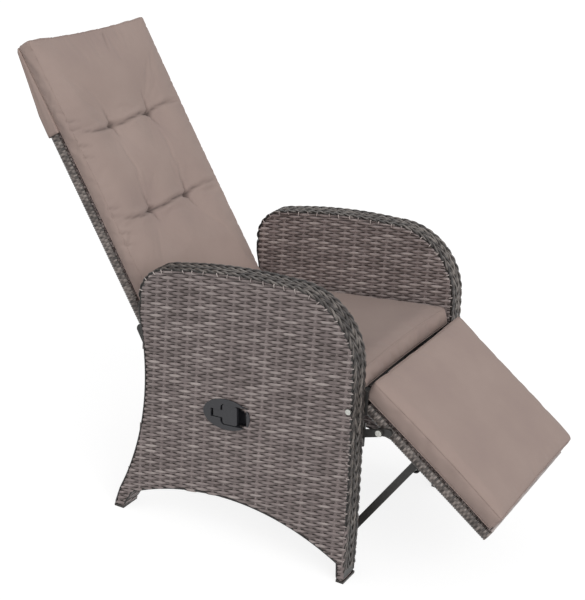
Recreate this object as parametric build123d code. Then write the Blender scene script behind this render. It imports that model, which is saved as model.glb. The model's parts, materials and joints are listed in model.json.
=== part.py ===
from build123d import *
import os
from math import atan2, cos, degrees, hypot, pi, radians, sin, tan

os.makedirs("parts", exist_ok=True)

# A reclining garden armchair, in millimetres. +Z is up, the sitter faces -Y, and -X is the
# sitter's right. The floor is z = 0, and the origin lies on the floor under the middle of the
# chair's overall length. Every piece is drawn in the pose with the back leant and the
# footrest half raised.

# Overall sizes
overall_width = 610.0
side_thickness = 61.0
side_overhang = 156.0
arm_height = 672.0
side_front_y = -324.0

# Fits
running_clearance = 0.05
sleeve_clearance = 0.1
soft_clearance = 0.4
plate_gap = 0.4
overrun = 1.0

# Side panels
weave_thickness = 3.0
edge_wrap = 3.5
frame_depth = 14.0
frame_wall = 1.5
rail_wall = 2.0
rail_inset = 0.5
glide_height = 6.0
glide_inset = 1.0
glide_stem_radius = 4.0
glide_stem_length = 18.0
front_foot_width = 21.0
rear_foot_width = 28.0
foot_top_z = 52.0
lower_rail_z = 276.0
upper_rail_z = 376.0
rail_height = 24.0

# Seat
seat_front_y = -291.0
seat_base_z = 460.0
seat_slope = 6.1
seat_length = 468.0
seat_cushion_height = 45.5
cushion_side_gap = 4.5
deck_side_gap = 6.0
deck_thickness = 6.0
deck_edge = 5.0
rail_size = 25.0
front_rail_setback = 13.0
rear_rail_inset = 38.0
side_rail_gap = 14.0
flange_thickness = 5.0
front_flange_length = 61.0
front_flange_height = 57.0
front_flange_y = -315.0
front_flange_z = 395.0
rear_flange_length = 52.0
rear_flange_height = 50.0
rear_flange_inset = 65.0
rear_flange_z = 362.0

# Pivots, as places in the side view. The rear ones lie behind the seat's length.
back_pivot_behind = 27.0
back_pivot_z = 445.0
footrest_pivot_y = -349.0
footrest_pivot_z = 362.0
rocker_pivot_y = -206.0
rocker_pivot_z = 288.0
strut_foot_y = -278.0
strut_foot_z = 68.0
gas_front_y = -248.0
gas_front_z = 404.0
gas_rear_behind = 22.0
gas_rear_z = 352.0
lever_tube_behind = 45.0
lever_tube_z = 354.0
rod_rear_behind = 27.0
rod_rear_z = 320.0
rocker_rod_radius = 89.3

# Back
back_angle = 33.0
frame_tube_radius = 11.0
tube_wall = 1.5
wrap_radius = 16.0
tube_side_gap = 27.0
back_tube_depth = 60.0
back_frame_low = 15.0
lever_boss_height = 45.0
back_frame_high = 600.0
back_cushion_front = -16.0
back_cushion_low = -8.0
back_cushion_high = 750.0
back_cushion_thickness = 53.5
hood_length = 214.0
hood_wall = 4.0
hood_top = 754.0
hood_corner = 19.0
hood_room_corner = 10.0
hood_bend_height = 50.0
hood_bend_depth = 21.0
hood_top_depth = 8.0

# Footrest
footrest_angle = 35.5
footrest_near_y = 60.0
footrest_far_y = -322.0
footrest_tube_height = 10.8
footrest_stud_height = 12.8
footrest_cushion_near_y = 75.7
footrest_cushion_length = 392.0
footrest_cushion_height = 60.0
strut_stud_y = -102.3
lug_y = -14.0

# Links, levers and pins
link_thickness = 5.0
lever_thickness = 3.5
hinge_arm_width = 18.0
hinge_arm_pad_length = 21.0
hinge_arm_pad_height = 58.0
rocker_width = 24.0
rocker_tube_radius = 11.0
rod_width = 18.0
strut_width = 18.0
strut_thickness = 13.0
strut_wall = 1.5
rocker_side_gap = 41.0
strut_side_gap = 4.0
link_gap = 1.0
pin_radius = 4.0
pin_head_radius = 7.5
pin_head_height = 4.0
bolt_radius = 3.0
bolt_head_radius = 6.5
bush_radius = 8.0
strut_open_clearance = 6.0
rod_open_clearance = 2.4
gas_open_clearance = 2.4

# Gas spring
gas_cylinder_radius = 11.0
gas_bore_radius = 9.0
gas_rod_radius = 4.0
gas_end_wall = 8.0
gas_cylinder_start = 150.0
gas_cylinder_end_gap = 30.0
gas_eye_radius = 11.0
gas_eye_half_width = 8.0
gas_piston_place = 300.0
gas_piston_length = 12.0
head_length = 34.0
head_height = 18.0
lug_thickness = 4.0
lug_half_gap = 13.0
release_lever_thickness = 3.0
release_lever_length = 24.0
release_lever_width = 9.0
release_stud_radius = 2.5
release_stud_place = 19.0

# Release handle
handle_y = 0.0
handle_z = 331.0
handle_tilt = 4.0
bezel_length = 122.0
bezel_height = 75.0
bezel_proud = 4.0
bezel_edge = 1.5
cup_length = 68.0
cup_height = 50.0
cup_start = -15.0
cup_depth = 24.0
cup_wall = 2.0
cup_corner = 9.0
neck_start = -41.0
neck_slot_height = 20.0
paddle_gap = 1.0
paddle_swing_gap = 4.0
paddle_thickness = 6.0
grip_length = 38.0
grip_corner = 6.0
paddle_pin_place = -35.0
paddle_pin_depth = 8.0
paddle_pin_radius = 2.0
paddle_hub_radius = 4.5
spring_radius = 5.5
spring_width = 6.0

# Release cable
cable_radius = 2.5
cable_stop_place = 30.0
cable_lead_length = 32.0
cable_open_clearance = 0.8
cable_bore_radius = 2.0
wire_radius = 0.6
cable_start_x = -220.0
cable_places = [
    (-186.0, 2.0, 347.0),
    (-150.0, -28.0, 366.0),
    (-116.0, -64.0, 384.0),
    (-82.0, -104.0, 399.0),
    (-46.0, -144.0, 411.0),
]

panel_outer_x = overall_width / 2
panel_inner_x = panel_outer_x - side_thickness
cushion_half_width = panel_inner_x - cushion_side_gap
deck_half_width = panel_inner_x - deck_side_gap
side_rail_outer_x = panel_inner_x - side_rail_gap
tube_x = panel_inner_x - tube_side_gap
rocker_inner_x = panel_inner_x - rocker_side_gap
strut_outer_x = rocker_inner_x - strut_side_gap
side_depth = seat_length + side_overhang
seat_length_end = seat_front_y + seat_length
rear_rail_setback = seat_length - rear_rail_inset
rear_flange_y = seat_length_end - rear_flange_inset
back_pivot_y = seat_length_end + back_pivot_behind
gas_rear_y = seat_length_end + gas_rear_behind
lever_tube_y = seat_length_end + lever_tube_behind
rod_rear_y = seat_length_end + rod_rear_behind
lug_outer_x = panel_inner_x - flange_thickness - link_gap
lug_inner_x = lug_outer_x - link_thickness
lever_outer_x = panel_inner_x - plate_gap
lever_inner_x = lever_outer_x - lever_thickness
rocker_outer_x = rocker_inner_x + link_thickness
rod_inner_x = rocker_outer_x + link_gap
rod_outer_x = rod_inner_x + link_thickness
strut_inner_x = strut_outer_x - strut_thickness
gas_angle = degrees(atan2(gas_rear_z - gas_front_z, gas_rear_y - gas_front_y))
gas_length = hypot(gas_rear_z - gas_front_z, gas_rear_y - gas_front_y)

seat_at = Pos(0, seat_front_y, seat_base_z) * Rot(-seat_slope, 0, 0)
back_at = Pos(0, back_pivot_y, back_pivot_z) * Rot(-back_angle, 0, 0)
footrest_at = Pos(0, footrest_pivot_y, footrest_pivot_z) * Rot(footrest_angle, 0, 0)
gas_at = Pos(0, gas_front_y, gas_front_z) * Rot(gas_angle, 0, 0)


def slab(face, x_low, x_high):
    """A face drawn in the side view (y, z), made solid from x_low to x_high."""
    return extrude(Plane.YZ.offset(x_low) * face, amount=x_high - x_low)


def block(x_range, y_range, z_range):
    """A box between two limits on each axis."""
    size = [limits[1] - limits[0] for limits in (x_range, y_range, z_range)]
    middle = [(limits[1] + limits[0]) / 2 for limits in (x_range, y_range, z_range)]
    return Pos(*middle) * Box(*size)


def disc(place, radius, x_low, x_high):
    """A round pin, hole or boss along X, centred at a place (y, z) in the side view."""
    return slab(Pos(*place) * Circle(radius), x_low, x_high)


def bar(start, end, width, x_low, x_high):
    """A flat bar with round ends from one place to another in the side view."""
    rise = (end[0] - start[0], end[1] - start[1])
    middle = ((end[0] + start[0]) / 2, (end[1] + start[1]) / 2)
    slot = SlotCenterToCenter(hypot(*rise), width)
    return slab(Pos(*middle) * Rot(0, 0, degrees(atan2(rise[1], rise[0]))) * slot, x_low, x_high)


def round_bar(axis, radius, low, high, place):
    """A cylinder along "x", "y" or "z" from low to high, at a place on the other two axes."""
    middle = (low + high) / 2
    cylinder = Cylinder(radius, high - low)
    if axis == "x":
        return Pos(middle, *place) * Rot(0, 90, 0) * cylinder
    if axis == "y":
        return Pos(place[0], middle, place[1]) * Rot(90, 0, 0) * cylinder
    return Pos(place[0], place[1], middle) * cylinder


def mirrored(shape):
    """The same piece on the sitter's left."""
    return mirror(shape, about=Plane.YZ)


def write(name, *solids):
    """Write one node as a STEP file."""
    shape = solids[0] if len(solids) == 1 else Compound(list(solids))
    shape.label = name
    export_step(shape, f"parts/{name}.step")


def write_sides(name, shape):
    """Write a piece of the sitter's right and its mirror image."""
    write(f"{name}_right", shape)
    write(f"{name}_left", mirrored(shape))


def turned(pivot, angle, y, z):
    """The side-view place of a point (y, z) in a frame turned by an angle about its pivot."""
    turn = radians(angle)
    return (pivot[0] + y * cos(turn) - z * sin(turn), pivot[1] + y * sin(turn) + z * cos(turn))


def on_line(start, end, distance):
    """The place at a distance from start towards end."""
    length = hypot(end[0] - start[0], end[1] - start[1])
    return (
        start[0] + (end[0] - start[0]) * distance / length,
        start[1] + (end[1] - start[1]) * distance / length,
    )


# Side panel outline: shares of the side's depth and of the arm's height
front_edge_middle_shares = (0.0144, 0.491)
front_edge_top_shares = (0.0288, 0.759)
front_corner_shares = (0.1218, 0.9405)
arm_top_shares = (0.3253, 1.0)
arm_middle_shares = (0.5897, 0.9881)
arm_rear_shares = (0.8061, 0.9539)
rear_corner_shares = (0.8926, 0.9092)
rear_top_shares = (0.9199, 0.8185)
rear_edge_start_shares = (0.9167, 0.7664)
waist_shares = (0.8814, 0.4464)
rear_leg_shares = (0.9776, 0.0818)
rear_arch_shares = (0.9183, 0.0759)
arch_top_shares = (0.4776, 0.1741)
front_arch_shares = (0.0385, 0.0685)


def side_place(shares):
    """A place on the side panel from its shares of depth and height."""
    return (side_front_y + shares[0] * side_depth, shares[1] * arm_height)


front_foot = (side_front_y, glide_height)
front_foot_inner = (side_front_y + front_foot_width, glide_height)
rear_foot = (side_front_y + side_depth, glide_height)
rear_foot_inner = (rear_foot[0] - rear_foot_width, glide_height)
side_outline = make_face(
    [
        ThreePointArc(front_foot, side_place(front_edge_middle_shares), side_place(front_edge_top_shares)),
        ThreePointArc(side_place(front_edge_top_shares), side_place(front_corner_shares), side_place(arm_top_shares)),
        ThreePointArc(side_place(arm_top_shares), side_place(arm_middle_shares), side_place(arm_rear_shares)),
        ThreePointArc(side_place(arm_rear_shares), side_place(rear_corner_shares), side_place(rear_top_shares)),
        Line(side_place(rear_top_shares), side_place(rear_edge_start_shares)),
        ThreePointArc(side_place(rear_edge_start_shares), side_place(waist_shares), side_place(rear_leg_shares)),
        Line(side_place(rear_leg_shares), rear_foot),
        Line(rear_foot, rear_foot_inner),
        Line(rear_foot_inner, side_place(rear_arch_shares)),
        ThreePointArc(side_place(rear_arch_shares), side_place(arch_top_shares), side_place(front_arch_shares)),
        Line(side_place(front_arch_shares), front_foot_inner),
        Line(front_foot_inner, front_foot),
    ]
)
side_box_middle = (side_front_y + side_depth / 2, foot_top_z / 2)
side_without_feet = side_outline - Pos(*side_box_middle) * Rectangle(side_depth * 2, foot_top_z)

# The welded frame inside a side panel: a ring of tube with its two legs, and two rails
tube_outside = offset(side_outline, -edge_wrap)
tube_inside = offset(side_without_feet, -edge_wrap - frame_depth)
void_outside = offset(side_outline, -edge_wrap - frame_wall)
void_inside = offset(side_without_feet, -edge_wrap - frame_depth + frame_wall)
frame_low_x = -panel_outer_x + weave_thickness
frame_high_x = -panel_inner_x - weave_thickness


def rail_band(z_low, z_high):
    """The part of the ring's inside that lies between two heights."""
    middle = (side_front_y + side_depth / 2, (z_low + z_high) / 2)
    return tube_inside & Pos(*middle) * Rectangle(side_depth * 2, z_high - z_low)


side_frame = slab(tube_outside - tube_inside, frame_low_x, frame_high_x)
side_frame -= slab(void_outside - void_inside, frame_low_x + frame_wall, frame_high_x - frame_wall)
for rail_z in (lower_rail_z, upper_rail_z):
    rail_face = rail_band(rail_z, rail_z + rail_height)
    side_frame += slab(rail_face, frame_low_x + rail_inset, frame_high_x - rail_inset)
    hollow = rail_band(rail_z - overrun, rail_z + rail_height - rail_wall)
    side_frame -= slab(hollow, frame_low_x + rail_wall, frame_high_x - rail_wall)

# The woven cover of a side panel, and the braid on the arm and the front edge
cover_room = slab(tube_outside, frame_low_x, frame_high_x)
side_solid = slab(side_outline, -panel_outer_x, -panel_inner_x)
braid_side = make_face(
    Polyline(
        (side_front_y + frame_depth, foot_top_z),
        (side_front_y - frame_depth, foot_top_z),
        (side_front_y - frame_depth, arm_height + frame_depth),
        (side_front_y + side_depth, arm_height + frame_depth),
        (side_front_y + side_depth, side_place(rear_top_shares)[1]),
        close=True,
    )
)
braid_zone = (side_outline - tube_outside) & braid_side
arm_braid = slab(braid_zone, -panel_outer_x, -panel_inner_x)
side_weave = side_solid - cover_room - arm_braid

# Foot glides, with a stem up into the tube of each leg
front_foot_y = (front_foot[0] + front_foot_inner[0]) / 2
rear_foot_y = (rear_foot[0] + rear_foot_inner[0]) / 2
panel_middle_x = -(panel_outer_x + panel_inner_x) / 2
stem_top = glide_height + glide_stem_length


def foot_glide(middle_y, width):
    """A glide under one foot, with its stem."""
    half_width = width / 2 - glide_inset
    pad = block(
        (-panel_outer_x + glide_inset, -panel_inner_x - glide_inset),
        (middle_y - half_width, middle_y + half_width),
        (0, glide_height),
    )
    return pad + glide_stem(middle_y, glide_stem_radius)


def glide_stem(middle_y, radius):
    """The stem of a glide, or with a larger radius its hole."""
    return round_bar("z", radius, glide_height / 2, stem_top, (panel_middle_x, middle_y))


front_glide = foot_glide(front_foot_y, front_foot_width)
rear_glide = foot_glide(rear_foot_y, rear_foot_width)
for foot_y in (front_foot_y, rear_foot_y):
    stem_hole = glide_stem(foot_y, glide_stem_radius + sleeve_clearance)
    side_weave -= stem_hole
    side_frame -= stem_hole

# Seat frame: two cross rails with end flanges, and two side rails
seat_low = -deck_thickness - rail_size
front_rail_range = (front_rail_setback, front_rail_setback + rail_size)
rear_rail_range = (rear_rail_setback, rear_rail_setback + rail_size)
flange_inner_x = panel_inner_x - flange_thickness
flange_hole_radius = rail_size / 4


def cross_rail(y_range, flange_y, flange_z, flange_length, flange_height):
    """A cross rail of square tube with a flange at each end."""
    x_range = (-flange_inner_x, flange_inner_x)
    rail = seat_at * block(x_range, y_range, (seat_low, -deck_thickness))
    hollow_range = (y_range[0] + tube_wall, y_range[1] - tube_wall)
    long_range = (x_range[0] - overrun, x_range[1] + overrun)
    rail -= seat_at * block(long_range, hollow_range, (seat_low + tube_wall, -deck_thickness - tube_wall))
    flange = block(
        (-panel_inner_x, -flange_inner_x),
        (flange_y, flange_y + flange_length),
        (flange_z, flange_z + flange_height),
    )
    middle = ((y_range[0] + y_range[1]) / 2, (seat_low - deck_thickness) / 2)
    flange -= seat_at * disc(middle, flange_hole_radius, -panel_outer_x, 0)
    return rail + flange + mirrored(flange)


seat_front_rail = cross_rail(
    front_rail_range, front_flange_y, front_flange_z, front_flange_length, front_flange_height
)
seat_rear_rail = cross_rail(rear_rail_range, rear_flange_y, rear_flange_z, rear_flange_length, rear_flange_height)
side_rail_x_range = (-side_rail_outer_x, -side_rail_outer_x + rail_size)
side_rail_y_range = (front_rail_range[1], rear_rail_range[0])
seat_side_rail = seat_at * block(side_rail_x_range, side_rail_y_range, (seat_low, -deck_thickness))
seat_side_rail -= seat_at * block(
    (side_rail_x_range[0] + tube_wall, side_rail_x_range[1] - tube_wall),
    (side_rail_y_range[0] - overrun, side_rail_y_range[1] + overrun),
    (seat_low + tube_wall, -deck_thickness - tube_wall),
)
seat_deck = seat_at * block(
    (-deck_half_width, deck_half_width), (deck_edge, seat_length - deck_edge), (-deck_thickness, 0)
)

# Bolts that hold the seat to the side panels. The front nuts are let into the flanges, flush
# with their faces, so that the footrest's cushion swings past them.
front_bolt_place = (front_flange_y + frame_depth + bolt_radius / 2, front_flange_z + front_flange_height / 2)
rear_bolt_place = (rear_flange_y + rear_flange_length / 4, upper_rail_z + rail_height / 2)


def bolt(place, radius, head_radius, head_height, x_head, x_end):
    """A bolt along X with its head against x_head, its shank running to x_end."""
    away = head_height if x_head > x_end else -head_height
    head = disc(place, head_radius, min(x_head, x_head + away), max(x_head, x_head + away))
    return head + disc(place, radius, min(x_head, x_end), max(x_head, x_end))


def nut(place, radius, x_low, x_high):
    """A hexagon nut on a bolt."""
    hexagon = slab(Pos(*place) * RegularPolygon(bolt_head_radius, 6), x_low, x_high)
    return hexagon - disc(place, radius, x_low - overrun, x_high + overrun)


front_bolt_end = -flange_inner_x
front_seat_bolt = bolt(
    front_bolt_place, bolt_radius, bolt_head_radius, pin_head_height, -panel_outer_x, front_bolt_end
)
rear_seat_bolt = bolt(
    rear_bolt_place, bolt_radius, bolt_head_radius, pin_head_height, -flange_inner_x, frame_high_x - frame_depth
)
front_seat_nut = nut(front_bolt_place, bolt_radius + sleeve_clearance, -panel_inner_x, front_bolt_end)
front_bolt_hole = disc(front_bolt_place, bolt_radius + sleeve_clearance, -panel_outer_x - overrun, front_bolt_end)
front_nut_hole = slab(
    Pos(*front_bolt_place) * RegularPolygon(bolt_head_radius + sleeve_clearance, 6), -panel_inner_x, front_bolt_end
)
rear_bolt_hole = disc(
    rear_bolt_place, bolt_radius + sleeve_clearance, frame_high_x - frame_depth - overrun, -flange_inner_x
)
side_weave -= front_bolt_hole + rear_bolt_hole
arm_braid -= front_bolt_hole
side_frame -= front_bolt_hole + rear_bolt_hole
seat_front_rail -= front_nut_hole + mirrored(front_nut_hole)
seat_rear_rail -= rear_bolt_hole + mirrored(rear_bolt_hole)

# Arms that carry the footrest, flat against the side panels
footrest_pivot = (footrest_pivot_y, footrest_pivot_z)
arm_drop_share = 0.8
arm_root = (front_flange_y + hinge_arm_pad_length / 2, footrest_pivot_z - hinge_arm_width * arm_drop_share)
arm_pad_low = arm_root[1] - hinge_arm_pad_height / 2
hinge_arm = bar(arm_root, footrest_pivot, hinge_arm_width, -panel_inner_x, -flange_inner_x)
hinge_arm += block(
    (-panel_inner_x, -flange_inner_x),
    (front_flange_y, front_flange_y + hinge_arm_pad_length),
    (arm_pad_low, arm_pad_low + hinge_arm_pad_height),
)
arm_bolt_places = [
    (front_bolt_place[0], arm_root[1] + side * (hinge_arm_pad_height / 2 - bolt_head_radius)) for side in (-1, 1)
]
arm_bolts = []
for place in arm_bolt_places:
    arm_bolts.append(
        bolt(place, bolt_radius, bolt_head_radius, pin_head_height / 2, -flange_inner_x, frame_high_x - frame_wall)
    )
    arm_bolt_hole = disc(place, bolt_radius + sleeve_clearance, frame_high_x - frame_depth, -flange_inner_x + overrun)
    hinge_arm -= arm_bolt_hole
    side_weave -= arm_bolt_hole
    side_frame -= arm_bolt_hole
pivot_bolt_end = -lug_inner_x + pin_head_height
footrest_pivot_bolt = bolt(
    footrest_pivot, pin_radius, pin_head_radius, pin_head_height, -panel_inner_x, pivot_bolt_end
)
footrest_pivot_nut = nut(footrest_pivot, pin_radius + sleeve_clearance, -lug_inner_x, pivot_bolt_end)
hinge_arm -= disc(footrest_pivot, pin_radius + sleeve_clearance, -panel_outer_x, 0)

# Bushes in the side panels for the back's pivots and for the rocker tube
back_pivot = (back_pivot_y, back_pivot_z)
rocker_pivot = (rocker_pivot_y, rocker_pivot_z)
bush_depth = frame_high_x - frame_depth


def bush(place, bore):
    """A plain bush let into the inner face of a side panel."""
    body = disc(place, bush_radius, bush_depth, -panel_inner_x)
    return body - disc(place, bore, bush_depth - overrun, -panel_inner_x + overrun)


back_bush = bush(back_pivot, pin_radius + sleeve_clearance)
rocker_bush = bush(rocker_pivot, pin_radius + running_clearance)
for place in (back_pivot, rocker_pivot):
    bush_hole = disc(place, bush_radius + sleeve_clearance, bush_depth - sleeve_clearance, 0)
    side_weave -= bush_hole
    side_frame -= bush_hole
back_pivot_bolt = bolt(
    back_pivot, pin_radius, pin_radius + lever_thickness, link_gap, -lever_inner_x + plate_gap, bush_depth
)

# Back: levers beside the cushion, a cross tube below the seat, and the welded tube frame
lever_tube = (lever_tube_y, lever_tube_z)
rod_rear = (rod_rear_y, rod_rear_z)
gas_rear = (gas_rear_y, gas_rear_z)
tube_foot = turned(back_pivot, -back_angle, back_tube_depth, lever_boss_height)
back_lever = bar(tube_foot, back_pivot, rocker_width, -lever_outer_x, -lever_inner_x)
back_lever += bar(back_pivot, lever_tube, rocker_width, -lever_outer_x, -lever_inner_x)
back_lever += bar(tube_foot, lever_tube, rocker_width, -lever_outer_x, -lever_inner_x)
back_lever -= disc(back_pivot, pin_radius + running_clearance, -panel_outer_x, 0)
rod_lug_range = (-rocker_outer_x, -rocker_inner_x)
lever_cross_tube = disc(lever_tube, frame_tube_radius, -lever_inner_x, lever_inner_x)
lever_cross_tube -= disc(
    lever_tube, frame_tube_radius - tube_wall, -lever_inner_x - overrun, lever_inner_x + overrun
)
tube_void = disc(lever_tube, frame_tube_radius - tube_wall, -lever_inner_x, lever_inner_x)
rod_lug = bar(lever_tube, rod_rear, rod_width, *rod_lug_range)
gas_lug = bar(lever_tube, gas_rear, rod_width, -lug_half_gap - lug_thickness, -lug_half_gap)
for lug in (rod_lug, gas_lug, mirrored(rod_lug), mirrored(gas_lug)):
    lever_cross_tube += lug - tube_void
gas_rear_pin = disc(gas_rear, pin_radius, -lug_half_gap - lug_thickness, lug_half_gap + lug_thickness)
gas_rear_hole = disc(gas_rear, pin_radius + sleeve_clearance, -panel_inner_x, panel_inner_x)
rod_rear_hole = disc(rod_rear, pin_radius + sleeve_clearance, -panel_inner_x, panel_inner_x)
lever_cross_tube -= gas_rear_hole + rod_rear_hole
rod_rear_pin = disc(rod_rear, pin_radius, -rod_outer_x - link_gap, -rocker_inner_x + link_gap)

back_tube_z = (back_frame_low, back_frame_high - wrap_radius)
back_cross_places = [
    (back_tube_depth, back_frame_low + frame_tube_radius * 2),
    (back_tube_depth, back_frame_high - wrap_radius),
]


def back_tubes(radius):
    """The back's two side tubes and two cross tubes, at one radius."""
    shape = None
    for side in (-1, 1):
        low = back_tube_z[0] - (overrun if radius < frame_tube_radius else 0)
        tube = round_bar("z", radius, low, back_tube_z[1], (side * tube_x, back_tube_depth))
        shape = tube if shape is None else shape + tube
    for place in back_cross_places:
        shape += round_bar("x", radius, -tube_x, tube_x, place)
    return shape


lever_boss = disc(tube_foot, wrap_radius / 2, -lever_inner_x, -tube_x)
back_frame = back_at * back_tubes(frame_tube_radius)
back_frame += lever_boss + mirrored(lever_boss)
back_frame -= back_at * back_tubes(frame_tube_radius - tube_wall)
frame_room = back_at * back_tubes(frame_tube_radius + sleeve_clearance)
boss_room = disc(tube_foot, wrap_radius / 2 + sleeve_clearance, -panel_outer_x, -tube_x)
back_side_wrap = back_at * round_bar(
    "z", wrap_radius, back_frame_low, back_frame_high, (-tube_x, back_tube_depth)
)
back_side_wrap -= frame_room + boss_room
side_wrap_inner_x = tube_x - wrap_radius


def cross_wrap(place):
    """The winding on a cross tube, between the side tubes' windings."""
    winding = round_bar("x", wrap_radius, -side_wrap_inner_x, side_wrap_inner_x, place)
    return winding - round_bar("x", frame_tube_radius + sleeve_clearance, -tube_x, tube_x, place)


back_cross_wraps = [back_at * cross_wrap(place) for place in back_cross_places]
wrap_outer_x = tube_x + wrap_radius
back_deck_rear = back_tube_depth - wrap_radius
back_deck = back_at * block(
    (-wrap_outer_x, wrap_outer_x), (back_deck_rear - deck_thickness, back_deck_rear), (back_frame_low, back_frame_high)
)

# Cushions: lofts through crowned sections, with rounded ends and drawn-in sides
station_shares = (0.0, 0.012, 0.035, 0.09, 0.22, 0.38, 0.5, 0.62, 0.78, 0.91, 0.965, 0.988, 1.0)
end_drop_share = 0.20
end_lift_share = 0.14
end_inset_share = 0.022
waist_draw_share = 0.014
side_height_share = 0.84
side_inset_share = 0.10
crown_power = 6
edge_power = 28


def crown_height(x, crown, base):
    """Height of a section's top at x: a bow from its sides to the crown."""
    side_top = base + (crown - base) * side_height_share
    return side_top + (crown - side_top) * (1 - (x / cushion_half_width) ** 2)


def cushion_section(y, half_width, crown, base):
    """One cross-section of a cushion, standing in the plane y."""
    side_top = base + (crown - base) * side_height_share
    inset = (crown - base) * side_inset_share
    middle = (base + side_top) / 2
    low_right = (half_width - inset, base)
    high_right = (half_width - inset, side_top)
    edges = [
        Line((-low_right[0], base), low_right),
        ThreePointArc(low_right, (half_width, middle), high_right),
        ThreePointArc(high_right, (0, crown), (-high_right[0], side_top)),
        ThreePointArc((-high_right[0], side_top), (-half_width, middle), (-low_right[0], base)),
    ]
    return Plane(origin=(0, y, 0), x_dir=(1, 0, 0), z_dir=(0, -1, 0)) * make_face(edges)


def cushion(length, thickness):
    """A box cushion from y = 0 to its length, resting on z = 0. Going out from its middle,
    the crown sinks with a high power of the distance and the edges round off with a higher
    one, while the sides draw in towards the middle as a cosine."""
    sections = []
    for share in station_shares:
        out = abs(share * 2 - 1)
        crown = thickness * (1 - end_drop_share * out**crown_power)
        base = thickness * end_lift_share * out**edge_power
        width_share = 1 - end_inset_share * out**edge_power - waist_draw_share * cos(radians(out * 90))
        sections.append(cushion_section(share * length, width_share * cushion_half_width, crown, base))
    return loft(sections, ruled=True)


seat_cushion = seat_at * Pos(0, 0, soft_clearance / 2) * cushion(seat_length, seat_cushion_height)

# The back's cushion stands on its rear face, so its length runs up the back. Two rows of
# sewn tufts draw its front in, each row with a crease from side to side.
tuft_x_share = 0.335
tuft_row_shares = (0.395, 0.690)
tuft_radius = 46.0
tuft_depth = 11.0
crease_radius = 36.0
crease_depth = 2.5
back_cushion_length = back_cushion_high - back_cushion_low
back_pad = cushion(back_cushion_length, back_cushion_thickness)
for row_share in tuft_row_shares:
    row_y = row_share * back_cushion_length
    crease_z = back_cushion_thickness + crease_radius - crease_depth
    back_pad -= round_bar(
        "x", crease_radius, -cushion_half_width * tuft_x_share, cushion_half_width * tuft_x_share, (row_y, crease_z)
    )
    for side in (-1, 1):
        tuft_x = side * tuft_x_share * cushion_half_width
        tuft_z = crown_height(tuft_x, back_cushion_thickness, 0) + tuft_radius - tuft_depth
        back_pad -= Pos(tuft_x, row_y, tuft_z) * Sphere(tuft_radius)
cushion_rear = back_cushion_front + back_cushion_thickness
back_cushion = back_at * Pos(0, cushion_rear, back_cushion_low) * Rot(90, 0, 0) * back_pad

# The pocket of the back's cushion, pulled down over the top of the frame. Its rear corners are
# round, and above the frame it tapers to the cushion's top.
hood_front = cushion_rear + soft_clearance
hood_rear = back_tube_depth + wrap_radius + hood_wall
hood_low = hood_top - hood_length
hood_side = make_face(
    Polyline(
        (hood_front, hood_low),
        (hood_rear, hood_low),
        (hood_rear, back_frame_high),
        (hood_rear - hood_bend_depth, back_frame_high + hood_bend_height),
        (hood_front + hood_top_depth, hood_top),
        (hood_front, hood_top),
        close=True,
    )
)


def column(half_width, y_low, y_high, corner, z_low, z_high):
    """An upright column between limits, with rounded corners in plan."""
    plan = RectangleRounded(half_width * 2, y_high - y_low, corner)
    return Pos(0, (y_low + y_high) / 2, z_low) * extrude(plan, amount=z_high - z_low)


hood = slab(hood_side, -cushion_half_width, cushion_half_width)
hood &= column(cushion_half_width, hood_front - hood_rear, hood_rear, hood_corner, hood_low, hood_top)
hood -= column(
    wrap_outer_x + soft_clearance,
    hood_front - hood_rear,
    hood_rear - hood_wall + soft_clearance,
    hood_room_corner,
    hood_low - overrun,
    back_frame_high + soft_clearance,
)
back_hood = back_at * hood

# Footrest: tube frame with hinge lugs and strut studs, wraps, deck and cushion
footrest_tube_y = (footrest_far_y + wrap_radius, footrest_near_y - wrap_radius)
strut_top = turned(footrest_pivot, footrest_angle, strut_stud_y, footrest_stud_height)
lug_middle = turned(footrest_pivot, footrest_angle, lug_y, footrest_stud_height)


def footrest_tubes(radius):
    """The footrest's two side tubes and two cross tubes, at one radius."""
    shape = None
    for side in (-1, 1):
        far = footrest_tube_y[0] - (wrap_radius + overrun if radius < frame_tube_radius else 0)
        tube = round_bar("y", radius, far, footrest_tube_y[1], (side * tube_x, footrest_tube_height))
        shape = tube if shape is None else shape + tube
    for place_y in footrest_tube_y:
        shape += round_bar("x", radius, -tube_x, tube_x, (place_y, footrest_tube_height))
    return shape


footrest_lug = bar(lug_middle, footrest_pivot, hinge_arm_width, -lug_outer_x, -lug_inner_x)
footrest_lug -= disc(footrest_pivot, pin_radius + running_clearance, -panel_outer_x, 0)
lug_boss_radius = hinge_arm_width / 2 - overrun
lug_boss = disc(lug_middle, lug_boss_radius, -lug_inner_x, -tube_x)
strut_stud = disc(strut_top, pin_radius, -tube_x, -strut_inner_x + link_gap * 3)
footrest_frame = footrest_at * footrest_tubes(frame_tube_radius)
for piece in (footrest_lug, lug_boss, strut_stud):
    footrest_frame += piece
    footrest_frame += mirrored(piece)
footrest_frame -= footrest_at * footrest_tubes(frame_tube_radius - tube_wall)
footrest_room = footrest_at * footrest_tubes(frame_tube_radius + sleeve_clearance)
footrest_side_wrap = footrest_at * round_bar(
    "y", wrap_radius, footrest_far_y, footrest_near_y, (-tube_x, footrest_tube_height)
)
footrest_side_wrap -= footrest_room
nut_room_end = -lug_inner_x + pin_head_height + link_gap
footrest_side_wrap -= disc(footrest_pivot, bolt_head_radius + link_gap, -panel_outer_x, nut_room_end)
footrest_side_wrap -= disc(lug_middle, lug_boss_radius + sleeve_clearance, -panel_outer_x, -tube_x)
footrest_side_wrap -= disc(strut_top, pin_radius + sleeve_clearance, -tube_x, 0)
footrest_cross_wraps = [footrest_at * cross_wrap((place_y, footrest_tube_height)) for place_y in footrest_tube_y]
footrest_deck_low = footrest_tube_height + wrap_radius
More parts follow.
